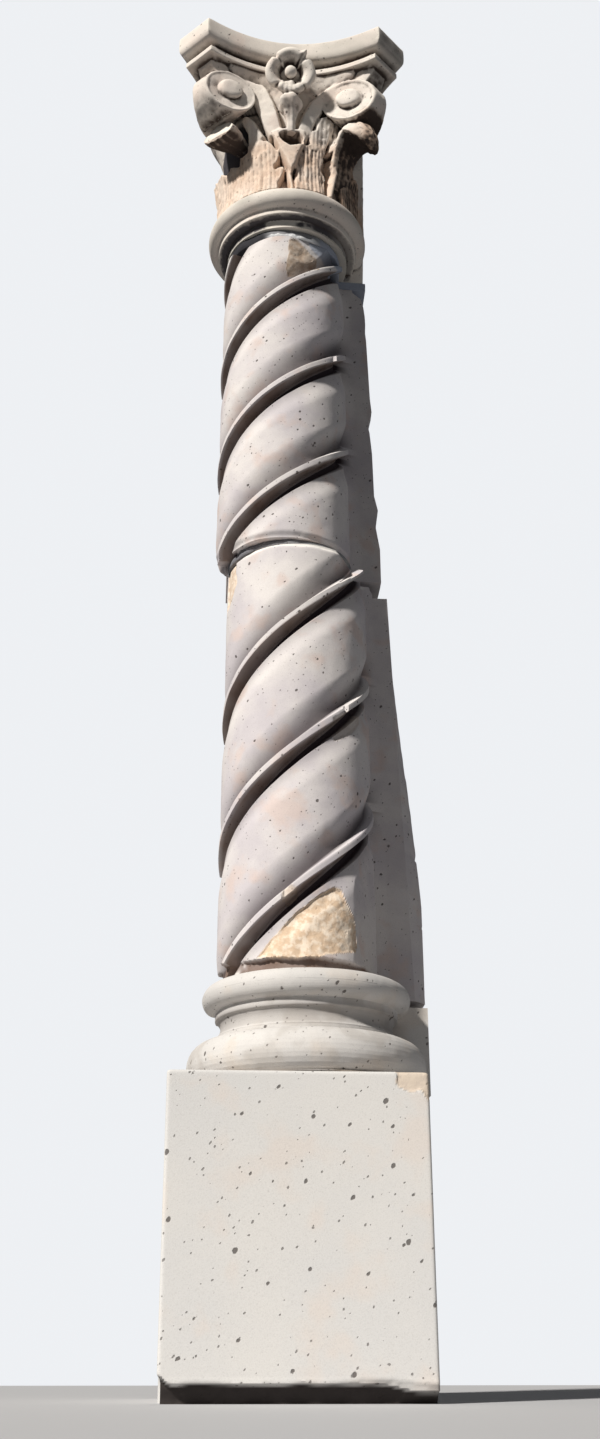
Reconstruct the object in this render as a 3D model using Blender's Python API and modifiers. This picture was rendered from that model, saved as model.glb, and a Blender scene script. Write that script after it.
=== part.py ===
"""Spiral pilaster: a plinth block, a moulded base, two shaft stones with a raised spiral band, a leaf
capital, and the mortar beds between them. Metres, +Z up. The column's axis is the world Z axis at
X = 0, Y = 0, the front faces -Y, and the foot stands on Z = 0."""

import math

import bmesh
import bpy
import numpy as np

# Stack, from the floor up
BLOCK_WIDTH = 0.360
BLOCK_HEIGHT = 0.415
BLOCK_FRONT = 0.1755
BLOCK_FOOT_DEPTH = 0.030
BLOCK_FOOT = (
    (0.0, 0.052),
    (0.02, 0.034),
    (0.06, 0.024),
    (0.25, 0.021),
    (0.42, 0.019),
    (0.62, 0.022),
    (0.80, 0.022),
    (0.88, 0.017),
    (1.0, 0.014),
)
BLOCK_CHIP_WIDTH = 0.043
BLOCK_CHIP_HEIGHT = 0.034
BLOCK_CHIP_DEPTH = 0.007
BASE_HEIGHT = 0.152
LOWER_DRUM_HEIGHT = 0.7165
UPPER_DRUM_HEIGHT = 0.636
CAPITAL_HEIGHT = 0.4015
MIDDLE_BED = 0.010
TOP_BED = 0.017
MORTAR_RIPPLE = 0.0012
MORTAR_HELD_BACK = 0.004
TOP_BED_RIGHT = 0.142
SEAM = 0.0003
SAW_SPARE = 0.008

# How far each stone was laid to the right of the true axis
BLOCK_SHIFT = -0.004
BASE_SHIFT = 0.019
LOWER_SHIFT = 0.0045
UPPER_SHIFT = -0.018
CAPITAL_SHIFT = -0.012

# Backing that is worked on the same stones and stands against the wall
WALL_PLANE = 0.125
BACKING_FRONT = 0.0305
BACKING_LEFT = 0.104
BACKING_EDGE_FOOT = 0.190
BACKING_EDGE_TOP = 0.1405
BACKING_CHAMFER_DEPTH = 0.020
LOWER_CHAMFER_FOOT = 0.0185
LOWER_CHAMFER_TOP = 0.008
UPPER_CHAMFER_WIDTH = 0.001
UPPER_BACKING_WORN = 0.004
BACKING_CORNER_WIDTH = 0.018
BACKING_CORNER_HEIGHT = 0.034
BASE_BACKING_HALF = 0.190
BASE_BACKING_DROP = 0.019
LOWER_BACKING_DROP = 0.0085
LOWER_BACKING_SHORT = 0.022
CAPITAL_BACKING_HALF = 0.156

# Moulded base, as radii and heights of its members
LOWER_TORUS_RADIUS = 0.179
LOWER_TORUS_HEIGHT = 0.066
LOWER_TORUS_FOOT = 0.003
SMALL_FILLET_RADIUS = 0.1395
SMALL_FILLET_HEIGHT = 0.006
SCOTIA_DEPTH = 0.008
SCOTIA_HEIGHT = 0.028
UPPER_FILLET_RADIUS = 0.138
UPPER_FILLET_HEIGHT = 0.012
UPPER_TORUS_RADIUS = 0.158

# Shaft and its spiral
SHAFT_FOOT_RADIUS = 0.1242
SHAFT_TOP_RADIUS = 0.1101
ROUND_SWEEP_DEG = 104.0
NECK_RADIUS_LOSS = 0.011
NECK_HEIGHT = 0.021
BAND_HEIGHT = 0.010
BAND_PROUD = 0.002
RIB_SINK = 0.013
ARRIS_SINK = 0.007
GROOVE_DEPTH = 0.021
GROOVE_HEIGHT = 0.026
LOWER_RISE = 0.60
UPPER_RISE = 0.52
LOWER_FIRST_BAND = 0.1305
LOWER_BAND_STEP = 0.228
LOWER_BANDS = 3
UPPER_FIRST_BAND = 0.112
UPPER_BAND_STEP = 0.204
UPPER_BANDS = 4

# Flat breaks on the shaft: middle angle round from the front, and depth below the full foot radius
SPALL_DEG = 12.0
SPALL_DEPTH = 0.011
FOOT_FACET_DEG = 66.0
FOOT_FACET_DEPTH = 0.010
SHOULDER_DEG = 56.0
SHOULDER_DEPTH = 0.020
HEAD_CHIP_DEG = 13.0
HEAD_CHIP_DEPTH = 0.023
HEAD_CHIP_START = 0.020
HEAD_CHIP_END = 0.105

# Capital
NECKING_RADIUS = 0.113
NECKING_HEIGHT = 0.020
ASTRAGAL_FILLET_RADIUS = 0.1302
ASTRAGAL_FILLET_HEIGHT = 0.0106
ASTRAGAL_RADIUS = 0.1494
ASTRAGAL_HEIGHT = 0.040
BELL_FOOT_RADIUS = 0.117
BELL_TOP_RADIUS = 0.150
LEAF_THICKNESS = 0.014
LEAF_TIP_REACH = 0.214
LEAF_TIP_HEIGHT = 0.175
LEAF_LOBE_DEG = 20.0
LEAF_NOTCH = 0.016
LEAF_TOP_FALL = 0.0029
LEAF_TIP_RADIUS = 0.024
LEAF_CURL_HEIGHT = 0.106
ABACUS_HALF = 0.2146
ABACUS_HORN = 0.1597
ABACUS_HOLLOW = 0.050
ABACUS_TAIL = 0.003
ABACUS_ROLL = 0.042
ABACUS_GROOVE = 0.010
ABACUS_FILLET = 0.012
ABACUS_UNDERSIDE = 0.030
ABACUS_UNDERSIDE_INSET = 0.075
ABACUS_FILLET_INSET = 0.014
ABACUS_GROOVE_INSET = 0.026
VOLUTE_RADIUS = 0.043
VOLUTE_REACH = 0.200
VOLUTE_RIM = 0.046
VOLUTE_SPLAY_DEG = 15.0
VOLUTE_BELOW_TOP = 0.139
VOLUTE_CHANNEL = 0.008
VOLUTE_BAND_WIDTH = 0.013
VOLUTE_BAND_DEPTH = 0.045
VOLUTE_BAND_FOOT_BELOW_TOP = 0.232
FLOWER_RADIUS = 0.050
FLOWER_BELOW_TOP = 0.098
FLOWER_REACH = 0.192
STALK_RADIUS = 0.011
STALK_FOOT_BELOW_TOP = 0.335
CUP_BELOW_TOP = 0.190

SIDES = 40
DEG = math.pi / 180

base_floor = BLOCK_HEIGHT + SEAM
base_top = base_floor + BASE_HEIGHT
lower_floor = base_top + SEAM
lower_top = lower_floor + LOWER_DRUM_HEIGHT
middle_bed_floor = lower_top + SEAM
upper_floor = middle_bed_floor + MIDDLE_BED + SEAM
upper_top = upper_floor + UPPER_DRUM_HEIGHT
top_bed_floor = upper_top + SEAM
capital_floor = top_bed_floor + TOP_BED + SEAM
capital_top = capital_floor + CAPITAL_HEIGHT


def clear_scene():
    for old in list(bpy.data.objects):
        bpy.data.objects.remove(old, do_unlink=True)


def collection(name, hidden=False):
    made = bpy.data.collections.new(name)
    bpy.context.scene.collection.children.link(made)
    made.hide_render = hidden
    return made


def stone(name, colour, roughness):
    """A matt stone or mortar colour."""
    made = bpy.data.materials.new(name)
    made.use_nodes = True
    shader = made.node_tree.nodes["Principled BSDF"]
    shader.inputs["Base Color"].default_value = (*colour, 1.0)
    shader.inputs["Roughness"].default_value = roughness
    shader.inputs["Metallic"].default_value = 0.0
    return made


def object_from(bm, name, where):
    bmesh.ops.recalc_face_normals(bm, faces=bm.faces)
    mesh = bpy.data.meshes.new(name)
    bm.to_mesh(mesh)
    bm.free()
    made = bpy.data.objects.new(name, mesh)
    where.objects.link(made)
    return made


def cutter(made):
    made.hide_render = True
    made.display_type = "WIRE"
    return made


def combine(target, tool, operation):
    """A live Boolean, so the cutters stay editable."""
    step = target.modifiers.new(tool.name, "BOOLEAN")
    step.operation = operation
    step.object = cutter(tool)
    step.solver = "EXACT"


def box(name, low, high, where):
    bm = bmesh.new()
    bmesh.ops.create_cube(bm, size=1.0)
    for vert in bm.verts:
        for axis in range(3):
            vert.co[axis] = high[axis] if vert.co[axis] > 0 else low[axis]
    return object_from(bm, name, where)


def turned(name, profile, centre_x, where):
    """A lathe form: the profile is a list of (radius, height), from the top down its outer side."""
    mesh = bpy.data.meshes.new(name)
    points = [(0.0, profile[0][1])] + list(profile) + [(0.0, profile[-1][1])]
    edges = [(i, i + 1) for i in range(len(points) - 1)]
    mesh.from_pydata([(radius, 0.0, height) for radius, height in points], edges, [])
    made = bpy.data.objects.new(name, mesh)
    made.location.x = centre_x
    where.objects.link(made)
    screw = made.modifiers.new("Turn", "SCREW")
    screw.steps = screw.render_steps = SIDES
    screw.use_merge_vertices = True
    screw.merge_threshold = 0.0001
    return made


def loft(rings):
    """One skin through rings of equal point count, each ring a list of (x, y, z)."""
    bm = bmesh.new()
    rows = [[bm.verts.new(point) for point in ring] for ring in rings]
    count = len(rings[0])
    for under, over in zip(rows, rows[1:]):
        for i in range(count):
            after = (i + 1) % count
            bm.faces.new((under[i], under[after], over[after], over[i]))
    bm.faces.new(rows[0][::-1])
    bm.faces.new(rows[-1])
    return bm


def arc(centre, radius, start_deg, end_deg, steps):
    """Points of an arc in a (radius, height) profile."""
    angles = np.linspace(start_deg, end_deg, steps) * DEG
    return [(centre[0] + radius * math.cos(a), centre[1] + radius * math.sin(a)) for a in angles]


def backing_edge(height):
    """The right arris of the backing leans in as the shaft tapers."""
    share = (height - lower_floor) / (upper_top - lower_floor)
    return BACKING_EDGE_FOOT + share * (BACKING_EDGE_TOP - BACKING_EDGE_FOOT)


def shaft_radius(height):
    share = (height - lower_floor) / (upper_top - lower_floor)
    return SHAFT_FOOT_RADIUS + share * (SHAFT_TOP_RADIUS - SHAFT_FOOT_RADIUS)


def rib_rows(start, end, open_start=False, open_end=False):
    """Rows (height on the front line, radial change) of one swelling rib. It dips to a groove at each
    end, unless that end runs out over the bed of the stone."""
    shares = (0.0, 0.06, 0.16, 0.32, 0.68, 0.84, 0.94, 1.0)
    rows = []
    for share in shares:
        away = abs(2 * share - 1)
        dip = RIB_SINK if share < 0.5 else ARRIS_SINK
        if (share < 0.5 and open_start) or (share > 0.5 and open_end):
            dip = 0.0
        rows.append((start + share * (end - start), -dip * away**3))
    return rows


def spiral_rows(bands, low, high):
    """Rows of the whole carved strip, from low to high on the front line. A band is a thin fillet
    with the next rib's foot above it and a deep groove below it."""
    foot = BAND_HEIGHT * 0.2
    rows = rib_rows(low, bands[0] - GROOVE_HEIGHT, open_start=True)
    for i, band in enumerate(bands):
        rows += [
            (band - GROOVE_HEIGHT * 0.7, -GROOVE_DEPTH),
            (band - GROOVE_HEIGHT * 0.15, -GROOVE_DEPTH),
            (band, BAND_PROUD),
            (band + BAND_HEIGHT, BAND_PROUD),
        ]
        last = i + 1 == len(bands)
        end = high if last else bands[i + 1] - GROOVE_HEIGHT
        rows += rib_rows(band + BAND_HEIGHT + foot, end, open_end=last)
    return rows


def broken(radius, degrees, row, losses):
    """The radius after the flat breaks: each has a middle angle, a depth and its lowest and highest row."""
    for centre, depth, low, high in losses:
        turn = abs(degrees - centre)
        if low < row < high and turn < 60:
            radius = min(radius, (SHAFT_FOOT_RADIUS - depth) / math.cos(turn * DEG))
    return radius


def lower_arris(height):
    """Where the lower backing's front ends and its chamfer ends. The chamfer is widest at the foot."""
    share = (height - lower_floor) / (lower_top - lower_floor)
    width = LOWER_CHAMFER_FOOT + share * (LOWER_CHAMFER_TOP - LOWER_CHAMFER_FOOT)
    return backing_edge(height), backing_edge(height) + width


def upper_arris(height):
    """The same for the upper backing, whose arris is worn back and hardly chamfered."""
    edge = backing_edge(height) - UPPER_BACKING_WORN
    return edge, edge + UPPER_CHAMFER_WIDTH


def drum_ring(row, change, rise, shift, losses, arris):
    """One row of the drum's skin. It climbs round the shaft and comes back down along the backing."""
    sweep = ROUND_SWEEP_DEG
    climb = rise / 360
    ring = []
    for degrees in np.linspace(-sweep, sweep, 21):
        height = row + climb * degrees
        radius = broken(shaft_radius(height) + change, degrees, row, losses)
        ring.append((shift + radius * math.sin(degrees * DEG), -radius * math.cos(degrees * DEG), height))
    corners = (
        (0.92, 0, BACKING_FRONT),
        (0.85, 1, BACKING_FRONT + BACKING_CHAMFER_DEPTH),
        (0.62, 1, WALL_PLANE),
    )
    for share, end, depth in corners:
        height = row + climb * sweep * share
        ring.append((arris(height)[end], depth, height))
    for share, depth in ((-0.62, WALL_PLANE), (-0.92, BACKING_FRONT)):
        ring.append((shift - BACKING_LEFT, depth, row + climb * sweep * share))
    return ring


def drum(name, floor, top, bands, rise, shift, losses, arris, where):
    """A shaft stone: the spiral skin, made longer than the stone and sawn off level at both beds."""
    reach = rise / 360 * ROUND_SWEEP_DEG + 0.01
    rows = spiral_rows(bands, floor - reach, top + reach)
    bm = loft([drum_ring(row, change, rise, shift, losses, arris) for row, change in rows])
    for height, up in ((floor, -1.0), (top, 1.0)):
        parts = list(bm.verts) + list(bm.edges) + list(bm.faces)
        cut = bmesh.ops.bisect_plane(
            bm, geom=parts, plane_co=(0, 0, height), plane_no=(0, 0, up), clear_outer=True, dist=1e-6
        )
        rim = [part for part in cut["geom_cut"] if isinstance(part, bmesh.types.BMEdge)]
        bmesh.ops.contextual_create(bm, geom=rim)
    bmesh.ops.triangulate(bm, faces=bm.faces)
    return object_from(bm, name, where)


def plinth_block(where, cutters):
    """A plain square stone. Its foot is broken away in front of the resting bed, most at the left
    corner, and a flake is gone from the top right corner."""
    left = BLOCK_SHIFT - BLOCK_WIDTH / 2
    right = BLOCK_SHIFT + BLOCK_WIDTH / 2
    bed_front = BLOCK_FOOT_DEPTH - BLOCK_FRONT
    rings = []
    for share, height in BLOCK_FOOT:
        section = (
            (WALL_PLANE, 0),
            (bed_front, 0),
            (bed_front - BLOCK_FOOT_DEPTH * 0.7, height * 0.85),
            (-BLOCK_FRONT, height),
            (-BLOCK_FRONT, BLOCK_HEIGHT),
            (WALL_PLANE, BLOCK_HEIGHT),
        )
        rings.append([(left + share * (right - left), y, z) for y, z in section])
    block = object_from(loft(rings), "plinth_block", where)
    chip = box(
        "block_chip_cut",
        (right - BLOCK_CHIP_WIDTH, -BLOCK_FRONT - SAW_SPARE, BLOCK_HEIGHT - BLOCK_CHIP_HEIGHT),
        (right + SAW_SPARE, BLOCK_CHIP_DEPTH - BLOCK_FRONT, BLOCK_HEIGHT + SAW_SPARE),
        cutters,
    )
    combine(block, chip, "DIFFERENCE")
    return block


def base_profile():
    """The base from its top bed down: upper torus, fillet, scotia, small fillet, lower torus."""
    scotia_top = base_floor + LOWER_TORUS_HEIGHT + SMALL_FILLET_HEIGHT + SCOTIA_HEIGHT
    fillet_top = scotia_top + UPPER_FILLET_HEIGHT
    half = (base_top - fillet_top) / 2
    profile = arc((UPPER_TORUS_RADIUS - half, fillet_top + half), half, 88, -90, 8)
    profile += [(UPPER_FILLET_RADIUS, fillet_top), (UPPER_FILLET_RADIUS, scotia_top)]
    for share in (0.15, 0.45, 0.8):
        sink = SCOTIA_DEPTH * math.sin(math.pi * (0.12 + 0.88 * share))
        profile.append((UPPER_FILLET_RADIUS - sink, scotia_top - share * SCOTIA_HEIGHT))
    small_top = scotia_top - SCOTIA_HEIGHT
    profile += [(SMALL_FILLET_RADIUS, small_top), (SMALL_FILLET_RADIUS, small_top - SMALL_FILLET_HEIGHT)]
    bulge = LOWER_TORUS_RADIUS - SMALL_FILLET_RADIUS
    middle = base_floor + LOWER_TORUS_HEIGHT * 0.46
    for degrees in (72, 54, 36, 18, 0, -22, -44, -64):
        rise = math.sin(degrees * DEG)
        height = middle + rise * LOWER_TORUS_HEIGHT * (0.54 if rise > 0 else 0.46)
        profile.append((SMALL_FILLET_RADIUS + bulge * math.cos(degrees * DEG) ** 0.8, height))
    profile.append((LOWER_TORUS_RADIUS - LOWER_TORUS_FOOT * 4, base_floor))
    return profile


def moulded_base(where, cutters):
    base = turned("moulded_base", base_profile(), BASE_SHIFT, where)
    half = BASE_BACKING_HALF
    behind = WALL_PLANE + half
    spare = box(
        "base_rear_cut",
        (BASE_SHIFT - half - LOWER_TORUS_RADIUS, BACKING_FRONT - SEAM, base_floor - BASE_HEIGHT),
        (BASE_SHIFT + half + LOWER_TORUS_RADIUS, behind, base_top + BASE_HEIGHT),
        cutters,
    )
    combine(base, spare, "DIFFERENCE")
    backing = box(
        "base_backing",
        (BASE_SHIFT - BACKING_LEFT - LOWER_TORUS_FOOT, BACKING_FRONT - LOWER_TORUS_FOOT, base_floor),
        (BASE_SHIFT + half, WALL_PLANE, base_top - BASE_BACKING_DROP),
        cutters,
    )
    combine(base, backing, "UNION")
    return base


def lower_bands():
    return [lower_floor + LOWER_FIRST_BAND + i * LOWER_BAND_STEP for i in range(LOWER_BANDS)]


def upper_bands():
    return [upper_floor + UPPER_FIRST_BAND + i * UPPER_BAND_STEP for i in range(UPPER_BANDS)]


def shaft_drums(where, cutters):
    """The two shaft stones. The lower one stands on a recessed foot, and its backing is longer below
    and shorter above than its round."""
    floor = lower_floor - LOWER_BACKING_DROP
    bands = lower_bands()
    losses = (
        (SPALL_DEG, SPALL_DEPTH, floor - LOWER_RISE, bands[0] - GROOVE_HEIGHT),
        (FOOT_FACET_DEG, FOOT_FACET_DEPTH, floor - LOWER_RISE, bands[0] - GROOVE_HEIGHT),
        (SHOULDER_DEG, SHOULDER_DEPTH, bands[-1] + BAND_HEIGHT, lower_top + LOWER_RISE),
    )
    lower = drum(
        "lower_shaft_drum", floor, lower_top, bands, LOWER_RISE, LOWER_SHIFT, losses, lower_arris, where
    )
    reach = BLOCK_WIDTH
    core = SHAFT_FOOT_RADIUS - NECK_RADIUS_LOSS
    neck_profile = ((core, lower_floor + BASE_HEIGHT), (core, lower_floor))
    neck = turned("lower_foot_core", neck_profile, LOWER_SHIFT, cutters)
    foot = box(
        "lower_foot_cut",
        (-reach, -reach, lower_floor - SAW_SPARE),
        (reach, BACKING_FRONT - SEAM, lower_floor + NECK_HEIGHT),
        cutters,
    )
    combine(foot, neck, "DIFFERENCE")
    combine(lower, foot, "DIFFERENCE")
    toe = box(
        "lower_toe_cut", (-reach, -reach, floor - NECK_HEIGHT), (reach, BACKING_FRONT, lower_floor), cutters
    )
    combine(lower, toe, "DIFFERENCE")
    shoulder = box(
        "lower_shoulder_cut",
        (-reach, BACKING_FRONT, lower_top - LOWER_BACKING_SHORT),
        (reach, WALL_PLANE + reach, lower_top + LOWER_BACKING_SHORT),
        cutters,
    )
    combine(lower, shoulder, "DIFFERENCE")
    bands = upper_bands()
    losses = ((HEAD_CHIP_DEG, HEAD_CHIP_DEPTH, bands[-2] + HEAD_CHIP_START, bands[-2] + HEAD_CHIP_END),)
    upper = drum(
        "upper_shaft_drum", upper_floor, upper_top, bands, UPPER_RISE, UPPER_SHIFT, losses, upper_arris, where
    )
    combine(upper, backing_corner(cutters), "DIFFERENCE")
    return lower, upper


def backing_corner(where):
    """The wedge that is broken off the upper stone's backing at its top right corner."""
    right = upper_arris(upper_top)[1]
    inner = right - BACKING_CORNER_WIDTH
    slope = BACKING_CORNER_WIDTH / BACKING_CORNER_HEIGHT
    wedge = (
        (right + SAW_SPARE, upper_top - BACKING_CORNER_HEIGHT - SAW_SPARE / slope),
        (right + SAW_SPARE, upper_top + SAW_SPARE),
        (inner - SAW_SPARE * slope, upper_top + SAW_SPARE),
    )
    sides = (BACKING_FRONT - SAW_SPARE, WALL_PLANE + SAW_SPARE)
    return object_from(loft([[(x, y, z) for x, z in wedge] for y in sides]), "backing_corner_cut", where)


def mortar_bed(name, floor, thickness, radius, shift, waves, behind, where):
    """A thin squeezed bed with an uneven edge, held back from the stones' faces. Points behind its
    round give the rest of its outline over the backing."""
    reach = math.acos(-BACKING_FRONT / radius)
    plan = []
    for turn in np.linspace(-reach, reach, SIDES - 8):
        edge = radius + sum(MORTAR_RIPPLE * math.sin(n * turn + n * n) for n in waves)
        plan.append((shift + edge * math.sin(turn), min(-edge * math.cos(turn), BACKING_FRONT)))
    plan += behind
    rings = [[(x, y, height) for x, y in plan] for height in (floor, floor + thickness)]
    return object_from(loft(rings), name, where)


def mortar_beds(where):
    middle = mortar_bed(
        "middle_mortar_bed",
        middle_bed_floor,
        MIDDLE_BED,
        shaft_radius(middle_bed_floor) - GROOVE_DEPTH * 0.5,
        (LOWER_SHIFT + UPPER_SHIFT) / 2,
        (3, 7, 11),
        [],
        where,
    )
    rear = WALL_PLANE - MORTAR_HELD_BACK
    left = UPPER_SHIFT - BACKING_LEFT + MORTAR_HELD_BACK
    behind = [(TOP_BED_RIGHT, BACKING_FRONT), (TOP_BED_RIGHT, rear), (left, rear)]
    radius = NECKING_RADIUS - MORTAR_HELD_BACK
    top = mortar_bed("top_mortar_bed", top_bed_floor, TOP_BED, radius, UPPER_SHIFT, (4, 9), behind, where)
    return middle, top


def bell_radius(height):
    """The bell's hollow flare, from the astragal up to the abacus."""
    foot = leaf_foot()
    share = min(max((height - foot) / (abacus_floor() - foot), 0.0), 1.0)
    return BELL_FOOT_RADIUS + (BELL_TOP_RADIUS - BELL_FOOT_RADIUS) * share**2.6


def abacus_floor():
    return capital_top - ABACUS_ROLL - ABACUS_GROOVE - ABACUS_FILLET - ABACUS_UNDERSIDE


def leaf_top(degrees):
    """Height of the leaf collar's lobed edge, highest on the diagonals."""
    away = abs(abs(degrees) % 90 - 45)
    lobe = abs(math.cos(math.pi * away / LEAF_LOBE_DEG))
    return leaf_foot() + LEAF_TIP_HEIGHT - LEAF_TOP_FALL * away - LEAF_NOTCH * (1 - lobe)


def leaf_foot():
    return capital_floor + NECKING_HEIGHT + ASTRAGAL_FILLET_HEIGHT + ASTRAGAL_HEIGHT


def capital_core(where):
    """Necking, astragal, the collar of leaves that lies on the bell, and the bell above it. The
    collar has fluted ribs and a lobed edge."""
    fillet_floor = capital_floor + NECKING_HEIGHT
    torus_floor = fillet_floor + ASTRAGAL_FILLET_HEIGHT
    half = ASTRAGAL_HEIGHT / 2
    members = [
        (NECKING_RADIUS, capital_floor - SAW_SPARE / 2),
        (NECKING_RADIUS, fillet_floor - LEAF_THICKNESS / 4),
        (ASTRAGAL_FILLET_RADIUS, fillet_floor),
        (ASTRAGAL_FILLET_RADIUS, torus_floor),
    ]
    members += arc((ASTRAGAL_RADIUS - half, torus_floor + half), half, -84, 80, 7)
    angles = np.linspace(-180, 180, 54, endpoint=False)
    rings = [[(radius, degrees, height) for degrees in angles] for radius, height in members]
    for share in (0, 0.3, 0.6, 0.85, 1):
        ring = []
        for degrees in angles:
            height = leaf_foot() + share * (leaf_top(degrees) - leaf_foot())
            flute = 0.8 + 0.2 * math.cos(2 * math.pi * (abs(degrees) - 45) / LEAF_LOBE_DEG)
            radius = bell_radius(height) + LEAF_THICKNESS * flute * (1 + 0.6 * share**2)
            ring.append((radius, degrees, height))
        rings.append(ring)
    bell_top = abacus_floor() + ABACUS_UNDERSIDE / 2
    for share in (0, 0.35, 0.7, 1):
        ring = []
        for degrees in angles:
            height = leaf_top(degrees) + share * (bell_top - leaf_top(degrees))
            ring.append((bell_radius(height), degrees, height))
        rings.append(ring)
    for ring in rings:
        ring[:] = [
            (CAPITAL_SHIFT + radius * math.sin(degrees * DEG), -radius * math.cos(degrees * DEG), height)
            for radius, degrees, height in ring
        ]
    return object_from(loft(rings), "capital", where)


def abacus_plan(inset):
    """Hollow-sided plan with cut horns. Its sides end at the backing."""
    half = ABACUS_HALF - inset
    horn = ABACUS_HORN - inset * 0.4
    front = [(x, ABACUS_HOLLOW * (1 - (x / horn) ** 2) - half) for x in np.linspace(-horn, horn, 9)]
    behind = BACKING_FRONT + ABACUS_TAIL
    side = [(half - ABACUS_HOLLOW * (1 - (y / horn) ** 2), y) for y in np.linspace(-horn, behind, 7)]
    return front + side + [(-x, y) for x, y in reversed(side)]


def abacus(where):
    floor = abacus_floor()
    fillet_floor = floor + ABACUS_UNDERSIDE
    fillet_top = fillet_floor + ABACUS_FILLET
    roll_floor = fillet_top + ABACUS_GROOVE
    levels = (
        (ABACUS_UNDERSIDE_INSET, floor),
        (ABACUS_UNDERSIDE_INSET * 0.45, fillet_floor - ABACUS_FILLET * 0.08),
        (ABACUS_FILLET_INSET, fillet_floor),
        (ABACUS_FILLET_INSET, fillet_top),
        (ABACUS_GROOVE_INSET, fillet_top + ABACUS_GROOVE * 0.1),
        (ABACUS_GROOVE_INSET, roll_floor),
        (ABACUS_ROLL * 0.19, roll_floor + ABACUS_ROLL * 0.04),
        (0.0, roll_floor + ABACUS_ROLL * 0.3),
        (0.0, roll_floor + ABACUS_ROLL * 0.72),
        (ABACUS_ROLL * 0.21, capital_top),
    )
    rings = [[(x + CAPITAL_SHIFT, y, height) for x, y in abacus_plan(inset)] for inset, height in levels]
    return object_from(loft(rings), "abacus", where)


def diagonal(side):
    """Unit direction out to a front horn: side is -1 on the left and 1 on the right."""
    return side * math.sqrt(0.5), -math.sqrt(0.5)


def leaf_tip(side, where):
    """The curled tongue of a corner leaf, swept out and over below the volute."""
    foot = leaf_foot()
    reach = LEAF_TIP_REACH
    shares = (
        (0.55, 0.28, 0.9),
        (0.66, 0.68, 1.3),
        (0.80, 0.98, 1.5),
        (0.93, 1.00, 1.4),
        (1.00, 0.83, 1.1),
        (0.96, 0.68, 0.6),
    )
    path = [(out * reach, foot + up * LEAF_CURL_HEIGHT, width) for out, up, width in shares]
    out_x, out_y = diagonal(side)
    rings = []
    for i, (rho, height, width) in enumerate(path):
        before = path[max(i - 1, 0)]
        after = path[min(i + 1, len(path) - 1)]
        along = math.atan2(after[1] - before[1], after[0] - before[0])
        ring = []
        for step in range(10):
            turn = 2 * math.pi * step / 10
            across = math.cos(turn) * LEAF_TIP_RADIUS * width
            lift = math.sin(turn) * LEAF_THICKNESS * 0.9
            rho_here = rho - math.sin(along) * lift
            ring.append(
                (
                    CAPITAL_SHIFT + out_x * rho_here - out_y * across,
                    out_y * rho_here + out_x * across,
                    height + math.cos(along) * lift,
                )
            )
        rings.append(ring)
    return object_from(loft(rings), f"leaf_tip_{'left' if side < 0 else 'right'}", where)


def volute(side, where):
    """A corner scroll: two splayed discs that share one rim, each with a sunk ring round its eye."""
    out_x, out_y = diagonal(side)
    centre = capital_top - VOLUTE_BELOW_TOP
    splay = math.tan(VOLUTE_SPLAY_DEG * DEG)
    steps = ((1.0, 0.0), (0.78, 0.0), (0.70, 0.75), (0.42, 1.0), (0.36, 0.12), (0.12, 0.0))
    levels = [(-1, *step) for step in reversed(steps)] + [(1, *step) for step in steps]
    rings = []
    for face, share, depth in levels:
        sunk = depth * VOLUTE_CHANNEL
        ring = []
        for step in range(20):
            turn = 2 * math.pi * step / 20
            out = VOLUTE_RADIUS * share * math.cos(turn)
            across = face * (VOLUTE_RIM / 2 + (VOLUTE_RADIUS - out) * splay - sunk)
            rho = VOLUTE_REACH - VOLUTE_RADIUS * 0.25 + out
            height = centre + VOLUTE_RADIUS * share * math.sin(turn)
            ring.append((CAPITAL_SHIFT + out_x * rho - out_y * across, out_y * rho + out_x * across, height))
        rings.append(ring)
    return object_from(loft(rings), f"volute_{'left' if side < 0 else 'right'}", where)


def volute_band(side, where):
    """The flat stem that grows out of the middle cup and runs up over its volute."""
    rings = []
    foot = capital_top - VOLUTE_BAND_FOOT_BELOW_TOP
    crest = capital_top - VOLUTE_BELOW_TOP + VOLUTE_RADIUS * 0.86
    start = BELL_FOOT_RADIUS + LEAF_THICKNESS * 1.15
    end = VOLUTE_REACH - VOLUTE_CHANNEL
    for share in np.linspace(0, 1, 6):
        degrees = 4 + 34 * share**1.15
        height = foot + (crest - foot) * math.sin(share * math.pi / 2) ** 1.15
        out = start + (end - start) * share**1.6
        width = VOLUTE_BAND_WIDTH * (1 + 0.15 * share)
        slope = math.atan2(1 - share * 0.9, 0.45 + share)
        ring = []
        for across, deep in ((-1, 0), (1, 0), (1, VOLUTE_BAND_DEPTH), (-1, VOLUTE_BAND_DEPTH)):
            turn = degrees * DEG - across * width * math.sin(slope) / out
            rho = out - deep
            lift = across * width * math.cos(slope)
            ring.append((CAPITAL_SHIFT + side * rho * math.sin(turn), -rho * math.cos(turn), height + lift))
        rings.append(ring)
    return object_from(loft(rings), f"volute_band_{'left' if side < 0 else 'right'}", where)


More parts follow.
